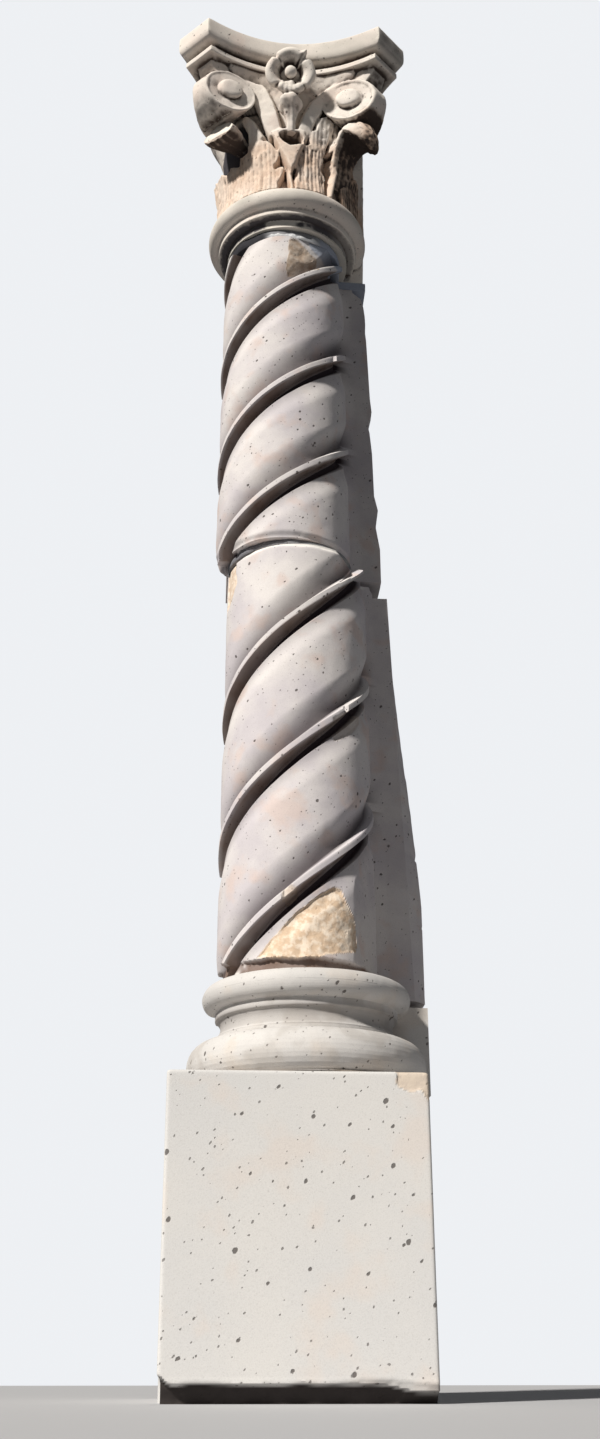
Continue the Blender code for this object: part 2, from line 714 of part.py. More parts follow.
def flower(where):
    """An open flower with four cupped petals and a ball centre, leaning forward over the abacus."""
    centre = capital_top - FLOWER_BELOW_TOP
    profile = (
        (0.20, -0.95),
        (0.45, -0.55),
        (0.86, -0.16),
        (1.0, 0.0),
        (0.90, 0.06),
        (0.62, -0.10),
        (0.40, -0.34),
        (0.24, -0.34),
        (0.22, -0.08),
        (0.12, 0.02),
    )
    lean = 20 * DEG
    rings = []
    for share, depth in profile:
        ring = []
        for step in range(24):
            turn = 2 * math.pi * step / 24
            petal = math.cos(4 * turn) * max(share - 0.4, 0)
            radius = FLOWER_RADIUS * share * (1 + 0.13 * petal)
            forward = FLOWER_RADIUS * (depth + 0.16 * petal)
            up = radius * math.sin(turn)
            y = -FLOWER_REACH - forward * math.cos(lean) - up * math.sin(lean)
            z = centre - forward * math.sin(lean) + up * math.cos(lean)
            ring.append((CAPITAL_SHIFT + radius * math.cos(turn), y, z))
        rings.append(ring)
    return object_from(loft(rings), "flower", where)


def stalk(where):
    """The flower's tapered stem, the cup that it stands in and the stalk below, in one upright."""
    foot = capital_top - STALK_FOOT_BELOW_TOP
    cup = capital_top - CUP_BELOW_TOP
    crown = capital_top - FLOWER_BELOW_TOP - STALK_RADIUS * 1.8
    reach = BELL_FOOT_RADIUS
    levels = (
        (foot, 1.1, 1.02 * reach),
        (foot + (cup - foot) * 0.7, 1.0, 1.06 * reach),
        (foot + (cup - foot) * 0.96, 2.4, 1.08 * reach),
        (cup, 1.9, 1.08 * reach),
        (cup + (crown - cup) * 0.06, 0.8, 1.20 * reach),
        (cup + (crown - cup) * 0.56, 1.2, 1.25 * reach),
        (crown, 2.0, 1.30 * reach),
    )
    rings = []
    for height, share, out in levels:
        radius = STALK_RADIUS * share
        ring = []
        for step in range(10):
            turn = 2 * math.pi * step / 10
            ring.append((CAPITAL_SHIFT + radius * math.cos(turn), radius * math.sin(turn) - out, height))
        rings.append(ring)
    return object_from(loft(rings), "stalk", where)


def capital(where, cutters):
    whole = capital_core(where)
    backing = box(
        "capital_backing",
        (CAPITAL_SHIFT - BACKING_LEFT, BACKING_FRONT, capital_floor - SAW_SPARE),
        (CAPITAL_SHIFT + CAPITAL_BACKING_HALF, WALL_PLANE + SAW_SPARE / 2, capital_top - SEAM),
        cutters,
    )
    rear = box(
        "capital_rear_cut",
        (-BLOCK_WIDTH, WALL_PLANE, capital_floor - BASE_HEIGHT),
        (BLOCK_WIDTH, WALL_PLANE + BLOCK_WIDTH, capital_top + BASE_HEIGHT),
        cutters,
    )
    tools = [backing, abacus(cutters)]
    for side in (-1, 1):
        tools += [leaf_tip(side, cutters), volute(side, cutters), volute_band(side, cutters)]
    tools += [stalk(cutters), flower(cutters)]
    for tool in tools:
        combine(whole, tool, "UNION")
    bed = box(
        "capital_bed_cut",
        (-BLOCK_WIDTH, -BLOCK_WIDTH, capital_floor - BASE_HEIGHT),
        (BLOCK_WIDTH, BLOCK_WIDTH, capital_floor),
        cutters,
    )
    combine(whole, bed, "DIFFERENCE")
    combine(whole, rear, "DIFFERENCE")
    return whole


def shade(made, angle_deg=35):
    mesh = made.data
    mesh.shade_smooth()
    mesh.set_sharp_from_angle(angle=angle_deg * DEG)


def main():
    clear_scene()
    where = collection("spiral_pilaster")
    cutters = collection("cutters", hidden=True)
    cream = stone("cream_stone", (0.80, 0.77, 0.70), 0.9)
    lilac = stone("lilac_stone", (0.72, 0.69, 0.68), 0.9)
    tawny = stone("tawny_stone", (0.63, 0.52, 0.43), 0.92)
    mortar = stone("grey_mortar", (0.50, 0.51, 0.52), 0.95)
    lower, upper = shaft_drums(where, cutters)
    middle, top = mortar_beds(where)
    finishes = (
        (plinth_block(where, cutters), cream),
        (moulded_base(where, cutters), cream),
        (lower, lilac),
        (middle, mortar),
        (upper, lilac),
        (top, mortar),
        (capital(where, cutters), tawny),
    )
    for made, finish in finishes:
        made.data.materials.clear()
        made.data.materials.append(finish)
        shade(made)


main()
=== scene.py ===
"""Looks of the spiral pilaster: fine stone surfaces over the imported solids, with wear, breaks, carving,
materials, light and camera. It is laid out as an add-on with one operator per stone."""

import contextlib
import math

import bmesh
import bpy
import numpy as np
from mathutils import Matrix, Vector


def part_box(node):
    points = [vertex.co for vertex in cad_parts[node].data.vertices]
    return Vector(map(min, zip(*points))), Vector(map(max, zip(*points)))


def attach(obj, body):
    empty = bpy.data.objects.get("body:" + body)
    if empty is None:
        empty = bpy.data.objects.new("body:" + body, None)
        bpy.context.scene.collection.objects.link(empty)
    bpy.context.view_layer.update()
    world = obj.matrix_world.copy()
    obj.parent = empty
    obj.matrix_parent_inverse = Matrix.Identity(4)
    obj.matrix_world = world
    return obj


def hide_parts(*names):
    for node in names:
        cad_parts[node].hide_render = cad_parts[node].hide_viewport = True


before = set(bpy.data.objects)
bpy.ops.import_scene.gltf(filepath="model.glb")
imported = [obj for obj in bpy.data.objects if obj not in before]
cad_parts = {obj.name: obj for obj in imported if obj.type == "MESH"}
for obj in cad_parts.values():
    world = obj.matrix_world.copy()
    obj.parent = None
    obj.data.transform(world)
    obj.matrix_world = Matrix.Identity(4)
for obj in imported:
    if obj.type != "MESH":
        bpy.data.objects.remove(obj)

bl_info = {
    "name": "Spiral pilaster",
    "version": (1, 0, 0),
    "blender": (4, 5, 0),
    "location": "View3D > Sidebar > Pilaster",
    "description": "Builds the weathered stone surfaces of an engaged spiral column",
    "category": "Add Mesh",
}

# Planes and beds that the stones share, in metres
WALL = 0.125
BACK_FRONT = 0.0305
BLOCK_TOP = 0.415
BASE_FLOOR, BASE_TOP = 0.4153, 0.5673
LOWER_FLOOR, LOWER_TOP = 0.5676, 1.2841
UPPER_FLOOR, UPPER_TOP = 1.2947, 1.9307
CAPITAL_FLOOR, CAPITAL_TOP = 1.9483, 2.3498
INSET = 0.0003
DEG = math.pi / 180
FOOT_RADIUS, HEAD_RADIUS = 0.1242, 0.1101
GROOVE = 0.021
TAPER = (FOOT_RADIUS - HEAD_RADIUS) / (UPPER_TOP - LOWER_FLOOR)


# Numbers


def noise(points, size, seed, octaves=2):
    """Smooth random field in -1 to 1 over an array of points; size is the largest feature in metres."""
    total = np.zeros(points.shape[:-1])
    weight, norm = 1.0, 0.0
    for octave in range(octaves):
        table = np.random.default_rng(seed + octave).random((32, 32, 32))
        place = points / size * 2**octave + 11.37 * (octave + 1)
        cell = np.floor(place).astype(int)
        part = place - cell
        part = part * part * (3 - 2 * part)
        low, high = cell % 32, (cell + 1) % 32
        mixed = 0.0
        for corner in range(8):
            picks = [high if corner >> axis & 1 else low for axis in range(3)]
            share = np.ones(points.shape[:-1])
            for axis in range(3):
                share = share * (part[..., axis] if corner >> axis & 1 else 1 - part[..., axis])
            mixed = mixed + share * table[picks[0][..., 0], picks[1][..., 1], picks[2][..., 2]]
        total += weight * mixed
        norm += weight
        weight *= 0.5
    return total / norm * 2 - 1


def ease(low, high, value):
    share = np.clip((value - low) / (high - low), 0, 1)
    return share * share * (3 - 2 * share)


def chop(points, centre, normal, rough, seed, reach=1.0, fade=0.02, grain=0.012):
    """Planes off whatever stands past a rough plane, near its centre."""
    normal = np.array(normal, float)
    normal /= np.linalg.norm(normal)
    away = np.linalg.norm(points - np.array(centre), axis=-1)
    over = (points - np.array(centre)) @ normal - rough * noise(points, grain, seed, 3)
    lost = np.maximum(over, 0) * ease(reach, reach - fade, away)
    return points - lost[..., None] * normal


def away_from(across, up, start, end):
    """Distance on a flat sheet to the straight stretch between two points."""
    (ax, ay), (bx, by) = start, end
    dx, dy = bx - ax, by - ay
    share = np.clip(((across - ax) * dx + (up - ay) * dy) / (dx * dx + dy * dy), 0, 1)
    return np.hypot(across - ax - share * dx, up - ay - share * dy)


def cover(across, up, outline):
    """Distance in metres inside an outline on a flat sheet; negative outside it."""
    nearest = np.full(np.broadcast(across, up).shape, 9.0)
    inside = np.zeros(nearest.shape, bool)
    for (ax, ay), (bx, by) in zip(outline, np.roll(outline, -1, axis=0)):
        nearest = np.minimum(nearest, away_from(across, up, (ax, ay), (bx, by)))
        if by != ay:
            inside ^= ((ay > up) != (by > up)) & (across < (bx - ax) * (up - ay) / (by - ay) + ax)
    return np.where(inside, nearest, -nearest)


def flake(points, across, up, outline, depth, rough, seed):
    """How much is lost inside a ragged outline, and how freshly broken each point is."""
    rag, crumb = 0.0030, 0.016
    across = across + rag * noise(points, crumb, seed, 3)
    up = up + rag * noise(points, crumb, seed + 7, 3)
    edge = cover(across, up, outline)
    lost = ease(0, 0.0035, edge) * (depth + rough * noise(points, 0.028, seed + 3, 4))
    return lost, ease(0, 0.0012, edge)


def around(radius, degrees, height, shift):
    """Points at an angle round from the front."""
    turn = np.asarray(degrees) * DEG
    parts = np.broadcast_arrays(shift + radius * np.sin(turn), -radius * np.cos(turn), height)
    return np.stack(parts, -1)


def circle(count):
    return np.linspace(0, 2 * np.pi, count, endpoint=False)


def padded(values, rings, fill=0.0):
    """The values of a ring's front columns, with one plain value for those behind."""
    rest = rings.shape[1] - values.shape[1]
    return np.concatenate([values, np.full((len(values), rest), fill)], 1)


# Meshes


def linked(name, data):
    made = bpy.data.objects.new(name, data)
    bpy.context.scene.collection.objects.link(made)
    return made


def read(mesh, what, kind=np.float64):
    """The "co" or "normal" of every vertex, as rows."""
    values = np.empty(len(mesh.vertices) * 3, kind)
    mesh.vertices.foreach_get(what, values)
    return values.reshape(-1, 3)


def add_layer(mesh, layer, values):
    store = mesh.attributes.new(layer, "FLOAT", "POINT")
    store.data.foreach_set("value", np.asarray(values, np.float32).ravel())


def evaluated(made):
    """A plain mesh of the object with its modifiers, which are then removed."""
    bpy.context.view_layer.update()
    graph = bpy.context.evaluated_depsgraph_get()
    mesh = bpy.data.meshes.new_from_object(made.evaluated_get(graph))
    made.modifiers.clear()
    return mesh


@contextlib.contextmanager
def editing(mesh):
    """The mesh opened for editing, and written back at the end."""
    bm = bmesh.new()
    bm.from_mesh(mesh)
    yield bm
    bm.to_mesh(mesh)
    bm.free()


def tube(name, rings, layers=None):
    """A closed skin over an array of rings (rows, columns, 3), capped flat at both ends."""
    rings = np.asarray(rings)
    rows, columns = rings.shape[:2]
    index = np.arange(rows * columns).reshape(rows, columns)
    after = np.roll(index, -1, axis=1)
    quads = np.stack([index[:-1], after[:-1], after[1:], index[1:]], -1).reshape(-1, 4)
    caps = [index[0][::-1].tolist(), index[-1].tolist()]
    mesh = bpy.data.meshes.new(name)
    mesh.from_pydata(rings.reshape(-1, 3).tolist(), [], quads.tolist() + caps)
    for layer, values in (layers or {}).items():
        add_layer(mesh, layer, values)
    return linked(name, mesh)


def saw(made, cuts=()):
    """Saws the closed mesh off flat at each (point, outward normal), and turns its faces outwards."""
    with editing(made.data) as bm:
        for point, normal in cuts:
            parts = [*bm.verts, *bm.edges, *bm.faces]
            cut = bmesh.ops.bisect_plane(
                bm, geom=parts, plane_co=point, plane_no=normal, clear_outer=True, dist=1e-6
            )
            rim = [part for part in cut["geom_cut"] if isinstance(part, bmesh.types.BMEdge)]
            bmesh.ops.contextual_create(bm, geom=rim)
        bmesh.ops.recalc_face_normals(bm, faces=bm.faces)


def beds(low, high):
    """The two level cuts of a stone between two heights."""
    return [((0, 0, low + INSET), (0, 0, -1)), ((0, 0, high - INSET), (0, 0, 1))]


def sweep(mesh):
    """Removes faces that the thinning left double, and with them any that then hang alone."""
    mesh.validate()
    with editing(mesh) as bm:
        stray = [face for face in bm.faces if all(edge.is_boundary for edge in face.edges)]
        bmesh.ops.delete(bm, geom=stray, context="FACES")


def settle(made, node, material, sharp=40):
    """Makes the piece stand for its CAD node, with its own stone."""
    made.data.materials.clear()
    made.data.materials.append(material)
    made.data.shade_smooth()
    made.data.set_sharp_from_angle(angle=sharp * DEG)
    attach(made, "root")
    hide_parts(node)


def hollow_of(mesh, reach=6, deep=0.0022):
    """How far each vertex lies below its surroundings, for the dirt and painted shade in the carving: -1 to 1.
    """
    points = read(mesh, "co")
    count = len(points)
    ends = np.empty(len(mesh.edges) * 2, np.int32)
    mesh.edges.foreach_get("vertices", ends)
    a, b = ends.reshape(-1, 2).T
    degree = np.bincount(a, minlength=count) + np.bincount(b, minlength=count)
    smooth = points.copy()
    for _ in range(reach):
        total = np.zeros_like(smooth)
        for axis in range(3):
            near = np.bincount(a, smooth[b, axis], count) + np.bincount(b, smooth[a, axis], count)
            total[:, axis] = near
        smooth = total / np.maximum(degree, 1)[:, None]
    depth = ((smooth - points) * read(mesh, "normal", np.float32)).sum(1)
    return np.clip(depth / deep, -1, 1)


# Node trees


def put(tree, slot, value):
    if isinstance(value, Wire):
        tree.links.new(value.socket, slot)
    else:
        slot.default_value = value


def add_node(tree, kind, output, settings=None, **values):
    """One node by type: its settings first, then its sockets by name or by number as s0, s1.
    Returns the named output, or several of them."""
    node = tree.nodes.new(kind)
    for name, value in (settings or {}).items():
        setattr(node, name, value)
    for name, value in values.items():
        key = int(name[1:]) if name[0] == "s" and name[1:].isdigit() else name.replace("_", " ")
        put(tree, node.inputs[key], value)
    if isinstance(output, tuple):
        return [Wire(tree, node.outputs[key]) for key in output]
    return Wire(tree, node.outputs[output])


def sum_node(tree, operation, *values, clamp=False):
    sockets = {f"s{i}": value for i, value in enumerate(values)}
    return add_node(tree, "ShaderNodeMath", 0, {"operation": operation, "use_clamp": clamp}, **sockets)


class Wire:
    """An output in a node tree that can stand in sums: each sum adds its Math node."""

    def __init__(self, tree, socket):
        self.tree = tree
        self.socket = socket

    def math(self, operation, *values):
        return sum_node(self.tree, operation, self, *values)

    def __add__(self, other):
        return self.math("ADD", other)

    def __mul__(self, other):
        return self.math("MULTIPLY", other)

    def __sub__(self, other):
        return self.math("SUBTRACT", other)

    def __rsub__(self, other):
        return sum_node(self.tree, "SUBTRACT", other, self)

    def __truediv__(self, other):
        return self.math("DIVIDE", other)

    __radd__ = __add__
    __rmul__ = __mul__

    def clamped(self):
        """Kept within 0 and 1."""
        return sum_node(self.tree, "MULTIPLY", self, 1.0, clamp=True)

    def ramp(self, low, high, start=0.0, end=1.0):
        """Smooth step from start to end as this goes from low to high."""
        return add_node(
            self.tree, "ShaderNodeMapRange", 0, {"interpolation_type": "SMOOTHSTEP"}, Value=self,
            From_Min=low, From_Max=high, To_Min=start, To_Max=end,
        )


def blend(share, first, second):
    """Mix two colours; a plain colour is three numbers."""
    first, second = (value if isinstance(value, Wire) else (*value, 1.0) for value in (first, second))
    return add_node(share.tree, "ShaderNodeMix", 2, {"data_type": "RGBA"}, s0=share, s6=first, s7=second)


# The spiral skin

SPIRAL = {
    "Columns": 190, "Rows": 500, "Low": 0.4, "High": 1.4, "Sweep": 208.0, "Rise": 0.6, "First band": 0.7,
    "Last band": 1.15, "Band step": 0.228, "Foot radius": FOOT_RADIUS, "Foot height": LOWER_FLOOR,
    "Taper": TAPER, "Shift": 0.0045, "Groove depth": GROOVE, "Groove height": 0.026, "Foot dip": 0.013,
    "Arris dip": 0.007, "Band height": 0.013, "Band proud": 0.002,
}


def spiral_tree():
    """Geometry Nodes for a shaft stone's round: a grid is rolled up and climbs round the shaft, and
    its radius follows the rib, the groove and the thin band."""
    tree = bpy.data.node_groups.new("Spiral skin", "GeometryNodeTree")
    face = tree.interface
    for name, value in SPIRAL.items():
        kind = "NodeSocketInt" if isinstance(value, int) else "NodeSocketFloat"
        face.new_socket(name, in_out="INPUT", socket_type=kind).default_value = value
    face.new_socket("Material", in_out="INPUT", socket_type="NodeSocketMaterial")
    face.new_socket("Geometry", in_out="OUTPUT", socket_type="NodeSocketGeometry")
    given = tree.nodes.new("NodeGroupInput")
    value = {slot.name: Wire(tree, slot) for slot in given.outputs if slot.name}
    grid = add_node(
        tree, "GeometryNodeMeshGrid", 0, Size_X=1.0, Size_Y=1.0, Vertices_X=value["Columns"],
        Vertices_Y=value["Rows"],
    )
    start = add_node(tree, "GeometryNodeInputPosition", 0)
    across, up = add_node(tree, "ShaderNodeSeparateXYZ", (0, 1), s0=start)
    turn = across * value["Sweep"]
    row = value["Low"] + (up + 0.5) * (value["High"] - value["Low"])
    step, first, last = value["Band step"], value["First band"], value["Last band"]
    held = row.math("MAXIMUM", first - step * 0.5).math("MINIMUM", last + step * 0.5)
    over = (held - first).math("FLOORED_MODULO", step)
    band, proud = value["Band height"], value["Band proud"]
    foot_dip, arris_dip = value["Foot dip"], value["Arris dip"]
    lip = step - value["Groove height"]
    change = (
        over.ramp(band * 1.3, band * 5.5, 1.0, 0.0) * foot_dip * -1
        - over.ramp(lip - 0.050, lip) * arris_dip
        - over.ramp(lip - 0.002, lip + 0.006) * over.ramp(step - 0.006, step - 0.001, 1.0, 0.0)
        * (value["Groove depth"] - arris_dip)
        + over.ramp(band * 0.75, band * 1.25, 1.0, 0.0) * (proud + foot_dip)
        + over.ramp(step - 0.005, step) * (proud + arris_dip)
    )
    height = row + turn * value["Rise"] / 360
    radius = value["Foot radius"] - (height - value["Foot height"]) * value["Taper"] + change
    angle = turn * DEG
    place = add_node(
        tree, "ShaderNodeCombineXYZ", 0, X=value["Shift"] + radius * angle.math("SINE"),
        Y=radius * angle.math("COSINE") * -1, Z=height,
    )
    moved = add_node(tree, "GeometryNodeSetPosition", 0, Geometry=grid, Position=place)
    real = add_node(tree, "GeometryNodeRealizeInstances", 0, s0=moved)
    done = add_node(tree, "GeometryNodeSetMaterial", 0, Geometry=real, Material=value["Material"])
    put(tree, tree.nodes.new("NodeGroupOutput").inputs[0], done)
    return tree


def grown(tree, material, **values):
    """Runs the tree on an empty mesh and returns its points as rows from low to high."""
    holder = linked("holder", bpy.data.meshes.new("holder"))
    grow = holder.modifiers.new("Spiral", "NODES")
    grow.node_group = tree
    ids = {item.name: item.identifier for item in tree.interface.items_tree if item.in_out == "INPUT"}
    for name, value in {**values, "Material": material}.items():
        grow[ids[name.replace("_", " ")]] = value
    mesh = evaluated(holder)
    points = read(mesh, "co")
    bpy.data.objects.remove(holder)
    bpy.data.meshes.remove(mesh)
    return points.reshape(values["Columns"], values["Rows"], 3).transpose(1, 0, 2)


# Materials


def stone(name, look):
    """Volcanic stone: clouded tints, fine grain, slanting oval pits and dark specks; broken places
    show the rough yellow inside, hollows hold dirt and painted shade, and the stain and smear
    colours also carry painted shade on some stones."""
    made = bpy.data.materials.new(name)
    made.use_nodes = True
    tree = made.node_tree
    shader = tree.nodes["Principled BSDF"]
    place = add_node(tree, "ShaderNodeTexCoord", "Object")

    def clouds(scale, detail, output=0, **more):
        return add_node(tree, "ShaderNodeTexNoise", output, Vector=place, Scale=scale, Detail=detail, **more)

    hollow, fresh, stain_and_shade, smear_and_shade = (
        add_node(tree, "ShaderNodeAttribute", "Fac", {"attribute_name": layer})
        for layer in ("hollow", "fresh", "stain_and_shade", "smear_and_shade")
    )
    cloud = clouds(look.cloud_scale, 4.0, Roughness=0.6)
    veil = clouds(look.cloud_scale * 2.7, 3.0)
    grain = clouds(420.0, 3.0)
    colour = blend(cloud.ramp(0.35, 0.65), look.light, look.tint)
    colour = blend(veil.ramp(0.52, 0.70) * 0.7, colour, look.blush)
    colour = blend((grain - 0.5).math("ABSOLUTE") * 0.9, colour, look.dark)
    tilt = add_node(
        tree, "ShaderNodeMapping", 0, {"vector_type": "TEXTURE"}, Vector=place,
        Rotation=(0.0, look.pit_tilt, 0.0), Scale=(1.0, 1.0, look.pit_stretch),
    )
    bent = add_node(
        tree, "ShaderNodeVectorMath", 0, {"operation": "MULTIPLY_ADD"}, s0=clouds(160.0, 2.0, 1),
        s1=(0.003, 0.003, 0.003), s2=tilt,
    )
    dots = []
    for scale, rare in ((look.pit_scale, look.pit_rare), (look.pit_scale * 2.1, 0.65)):
        tone, away = add_node(tree, "ShaderNodeTexVoronoi", ("Color", "Distance"), Vector=bent, Scale=scale)
        chance = add_node(tree, "ShaderNodeSeparateColor", 0, s0=tone)
        size = chance.math("POWER", 3.0 * rare) * look.pit_size
        dots.append((size - away).ramp(0.0, 0.07))
    pits = dots[0].math("MAXIMUM", dots[1] * 0.8)
    colour = blend(pits * look.pit_dark, colour, look.pit_colour)
    crumb = clouds(75.0, 5.0, Roughness=0.65)
    broken = fresh.clamped()
    colour = blend(broken, colour, blend(crumb.ramp(0.40, 0.62), look.fresh_dark, look.fresh_light))
    # The stain colour carries real stains and, on some stones, painted shade under the bands, in the undercut
    # foot and in the top mortar bed.
    colour = blend(stain_and_shade.clamped(), colour, look.stain_and_shade)
    # The smear colour carries real mortar smears and, on the capital, painted shadow in its dark hollow,
    # pocket and necking soffit.
    colour = blend(smear_and_shade, colour, look.smear_and_shade)
    # Dirt and painted shade: hollows, and on the capital downward and shaded faces, are darkened to the dirt
    # colour.
    dirt_and_shade_share = hollow.ramp(0.05, 0.9) * look.dirt_and_shade * (cloud * 0.5 + 0.75)
    colour = blend(dirt_and_shade_share.clamped(), colour, look.dirt_and_shade_colour)
    colour = blend((hollow * -1.0).ramp(0.1, 0.8) * look.wear, colour, look.worn_colour)
    put(tree, shader.inputs["Base Color"], colour)
    shader.inputs["Roughness"].default_value = 0.93
    shader.inputs["Specular IOR Level"].default_value = 0.2
    relief = grain * 0.12 + cloud * 0.2 - pits * 0.9 + broken * crumb * 1.6
    bump = add_node(tree, "ShaderNodeBump", 0, Strength=look.bump, Distance=0.0022, Height=relief)
    put(tree, shader.inputs["Normal"], bump)
    return made


def shade(label, text, value):
    return bpy.props.FloatVectorProperty(name=label, description=text, default=value, subtype="COLOR", size=3)


def number(label, text, value, **more):
    return bpy.props.FloatProperty(name=label, description=text, default=value, **more)


def length(label, text, value):
    return number(label, text, value, subtype="DISTANCE", unit="LENGTH")


class StoneLook(bpy.types.PropertyGroup):
    """Colours and pits of one stone."""

    light: shade("Light", "Main colour", (0.79, 0.76, 0.71))
    tint: shade("Tint", "Cloudy second colour", (0.72, 0.70, 0.69))
    blush: shade("Blush", "Faint third colour", (0.75, 0.66, 0.62))
    dark: shade("Grain", "Colour of the dark grain", (0.30, 0.28, 0.27))
    pit_colour: shade("Pits", "Colour inside the pits", (0.085, 0.072, 0.066))
    fresh_light: shade("Broken light", "Light colour of broken stone", (0.74, 0.62, 0.48))
    fresh_dark: shade("Broken dark", "Dark colour of broken stone", (0.60, 0.47, 0.34))
    # The stain, smear and dirt colours also serve as painted shade on some stones.
    stain_and_shade: shade("Stain", "Colour of stains and patina", (0.36, 0.31, 0.28))
    smear_and_shade: shade("Smear", "Colour of mortar smeared over the stone", (0.36, 0.39, 0.46))
    dirt_and_shade_colour: shade("Dirt", "Colour of the dirt in hollows", (0.14, 0.12, 0.11))
    worn_colour: shade("Worn", "Colour of worn arrises", (0.84, 0.81, 0.76))
    cloud_scale: number("Cloud scale", "Clouds per metre", 6.0)
    pit_scale: number("Pit scale", "Pit cells per metre", 58.0)
    pit_size: number("Pit size", "Largest pit as a share of its cell", 0.27)
    pit_rare: number("Pit rarity", "Higher leaves fewer large pits", 1.0)
    pit_tilt: number("Pit tilt", "Lean of the oval pits", 0.7, subtype="ANGLE", unit="ROTATION")
    pit_stretch: number("Pit stretch", "Length of the pits", 1.55)
    pit_dark: number("Pit darkness", "Strength of the pits' colour", 0.85)
    dirt_and_shade: number("Dirt amount", "Dirt in the hollows", 0.6)
    wear: number("Wear amount", "Paleness of the arrises", 0.3)
    bump: number("Bump", "Strength of the fine relief", 0.55)


class Step:
    """What each operator of the add-on shares."""

    bl_options = {"REGISTER", "UNDO"}

    def execute(self, context):
        self.make(context.scene.pilaster)
        return {"FINISHED"}


# The block

CORNER_FLAKE = (
    (0.128, 0.42), (0.1305, 0.394), (0.150, 0.386), (0.163, 0.389), (0.172, 0.377), (0.19, 0.377),
    (0.19, 0.42),
)


class BlockSettings(bpy.types.PropertyGroup):
    """Sizes of the plinth block."""

    round_m: length("Arris", "Radius of the worn arrises", 0.0045)
    foot_m: length("Foot", "Height of the broken foot", 0.022)
    look: bpy.props.PointerProperty(type=StoneLook)


def rectangle(left, right, front, back, radius, fine, coarse):
    """Points round a plan with rounded front corners, closely spaced in front."""
    corner = np.linspace(0, 90, 5)[1:-1] * DEG
    side = np.arange(front + radius, back, coarse)
    path = [(x, front) for x in np.arange(left + radius, right - radius + fine / 2, fine)]
    path += [(right - radius + radius * math.sin(a), front + radius - radius * math.cos(a)) for a in corner]
    path += [(right, y) for y in side]
    path += [(x, back) for x in np.linspace(right, left, 9)]
    path += [(left, y) for y in side[::-1]]
    path += [(left + radius - radius * math.cos(a), front + radius - radius * math.sin(a)) for a in corner]
    return np.array(path)


class PILASTER_OT_block(Step, bpy.types.Operator):
    """Build the plinth block with its worn arrises, broken foot and flaked corner"""

    bl_idname = "pilaster.block"
    bl_label = "Block"

    def make(self, settings):
        part = settings.block
        arris = part.round_m
        low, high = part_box("plinth_block")
        left, right, front = low.x + INSET, high.x - INSET, low.y + INSET
        plan = rectangle(left, right, front, WALL, arris, 0.0026, 0.008)
        crown_rows = [BLOCK_TOP - arris * share for share in (1.0, 0.62, 0.3, 0.1, 0.0)]
        heights = [0.0, 0.003, 0.008, 0.013, *np.arange(0.016, BLOCK_TOP - 0.006, 0.0028), *crown_rows]
        rings = np.zeros((len(heights), len(plan), 3))
        rings[..., :2] = plan
        rings[..., 2] = np.array(heights)[:, None]
        x, y, z = np.moveaxis(rings, -1, 0)
        facing = (y < front + 0.05).astype(float)
        crown = np.clip((z - (BLOCK_TOP - arris)) / arris, 0, 1)
        inward = arris * (1 - np.sqrt(np.clip(1 - crown**2, 0, 1)))
        middle = (left + right) / 2
        x -= inward * np.sign(x - middle) * (np.abs(x - middle) > 0.17)
        y += inward * (y < front + 0.02)
        foot = part.foot_m * (1 + 0.22 * noise(rings * (1, 0, 0), 0.09, 5, 3))
        foot = foot - 0.008 * ease(0.10, 0.15, x) + 0.010 * ease(left + 0.024, left, x) ** 2
        under = ease(foot + 0.0012, foot - 0.0012, z)
        slope = 0.016 + 0.010 * ease(foot, 0.0, z)
        near_front = ease(front + 0.032, front + 0.012, y)
        y += slope * under * near_front * (1 + 0.2 * noise(rings, 0.02, 8, 3))
        side = ease(left + 0.004, left, x) * ease(front + 0.09, front + 0.03, y)
        x += 0.016 * side * ease(foot + 0.004, foot - 0.016, z)
        lost, fresh = flake(rings, x, z, CORNER_FLAKE, 0.0030, 0.0006, 21)
        y += lost * near_front
        rag = noise(rings, 0.026, 33, 4)
        reach = 0.0035 + 0.008 * ease(0.02, 0.15, x)
        strip = ease(foot + reach, foot + reach - 0.003, z + 0.004 * rag) * near_front * (1 - under)
        y += strip * 0.0018
        y += 0.0007 * (noise(rings, 0.16, 3, 2) + 1) * facing * (z > 0.03)
        wash = noise(rings, 0.05, 17, 3)
        # Painted shade: the undercut foot in front is painted near black as shade, and the strip above it is
        # darkened as dirt and shade; the run down the left side is a real stain.
        dirt_and_shade = 0.30 * strip * (1.0 + rag) + 0.22 * ease(-0.1, 0.5, rag) * strip * ease(0.0, 0.14, x)
        stain_and_shade = np.maximum(under * near_front, dirt_and_shade)
        run = ease(left + 0.012, left, x) * ease(0.335, 0.32, z) * ease(0.275, 0.29, z)
        stain_and_shade += 0.25 * ease(-0.2, 0.4, wash) * run
        made = tube("block", rings, {"fresh": fresh * near_front * 0.8, "stain_and_shade": stain_and_shade})
        saw(made)
        settle(made, "plinth_block", stone("Cream block stone", part.look))


# The base


class BaseSettings(bpy.types.PropertyGroup):
    """Sizes of the moulded base."""

    shift_m: length("Shift", "How far right the base was laid", 0.019)
    look: bpy.props.PointerProperty(type=StoneLook)


def smooth_profile(points, step):
    """Even points along a polyline of (radius, height)."""
    points = np.array(points)
    runs = np.concatenate([[0], np.cumsum(np.linalg.norm(np.diff(points, axis=0), axis=1))])
    stops = np.unique(np.concatenate([np.arange(0, runs[-1], step), runs]))
    return np.stack([np.interp(stops, runs, points[:, i]) for i in (0, 1)], 1)


def half_round(radius, centre, half, start, end, count=14):
    angles = np.linspace(start, end, count) * DEG
    return [(radius - half + half * math.cos(a), centre + half * math.sin(a)) for a in angles]


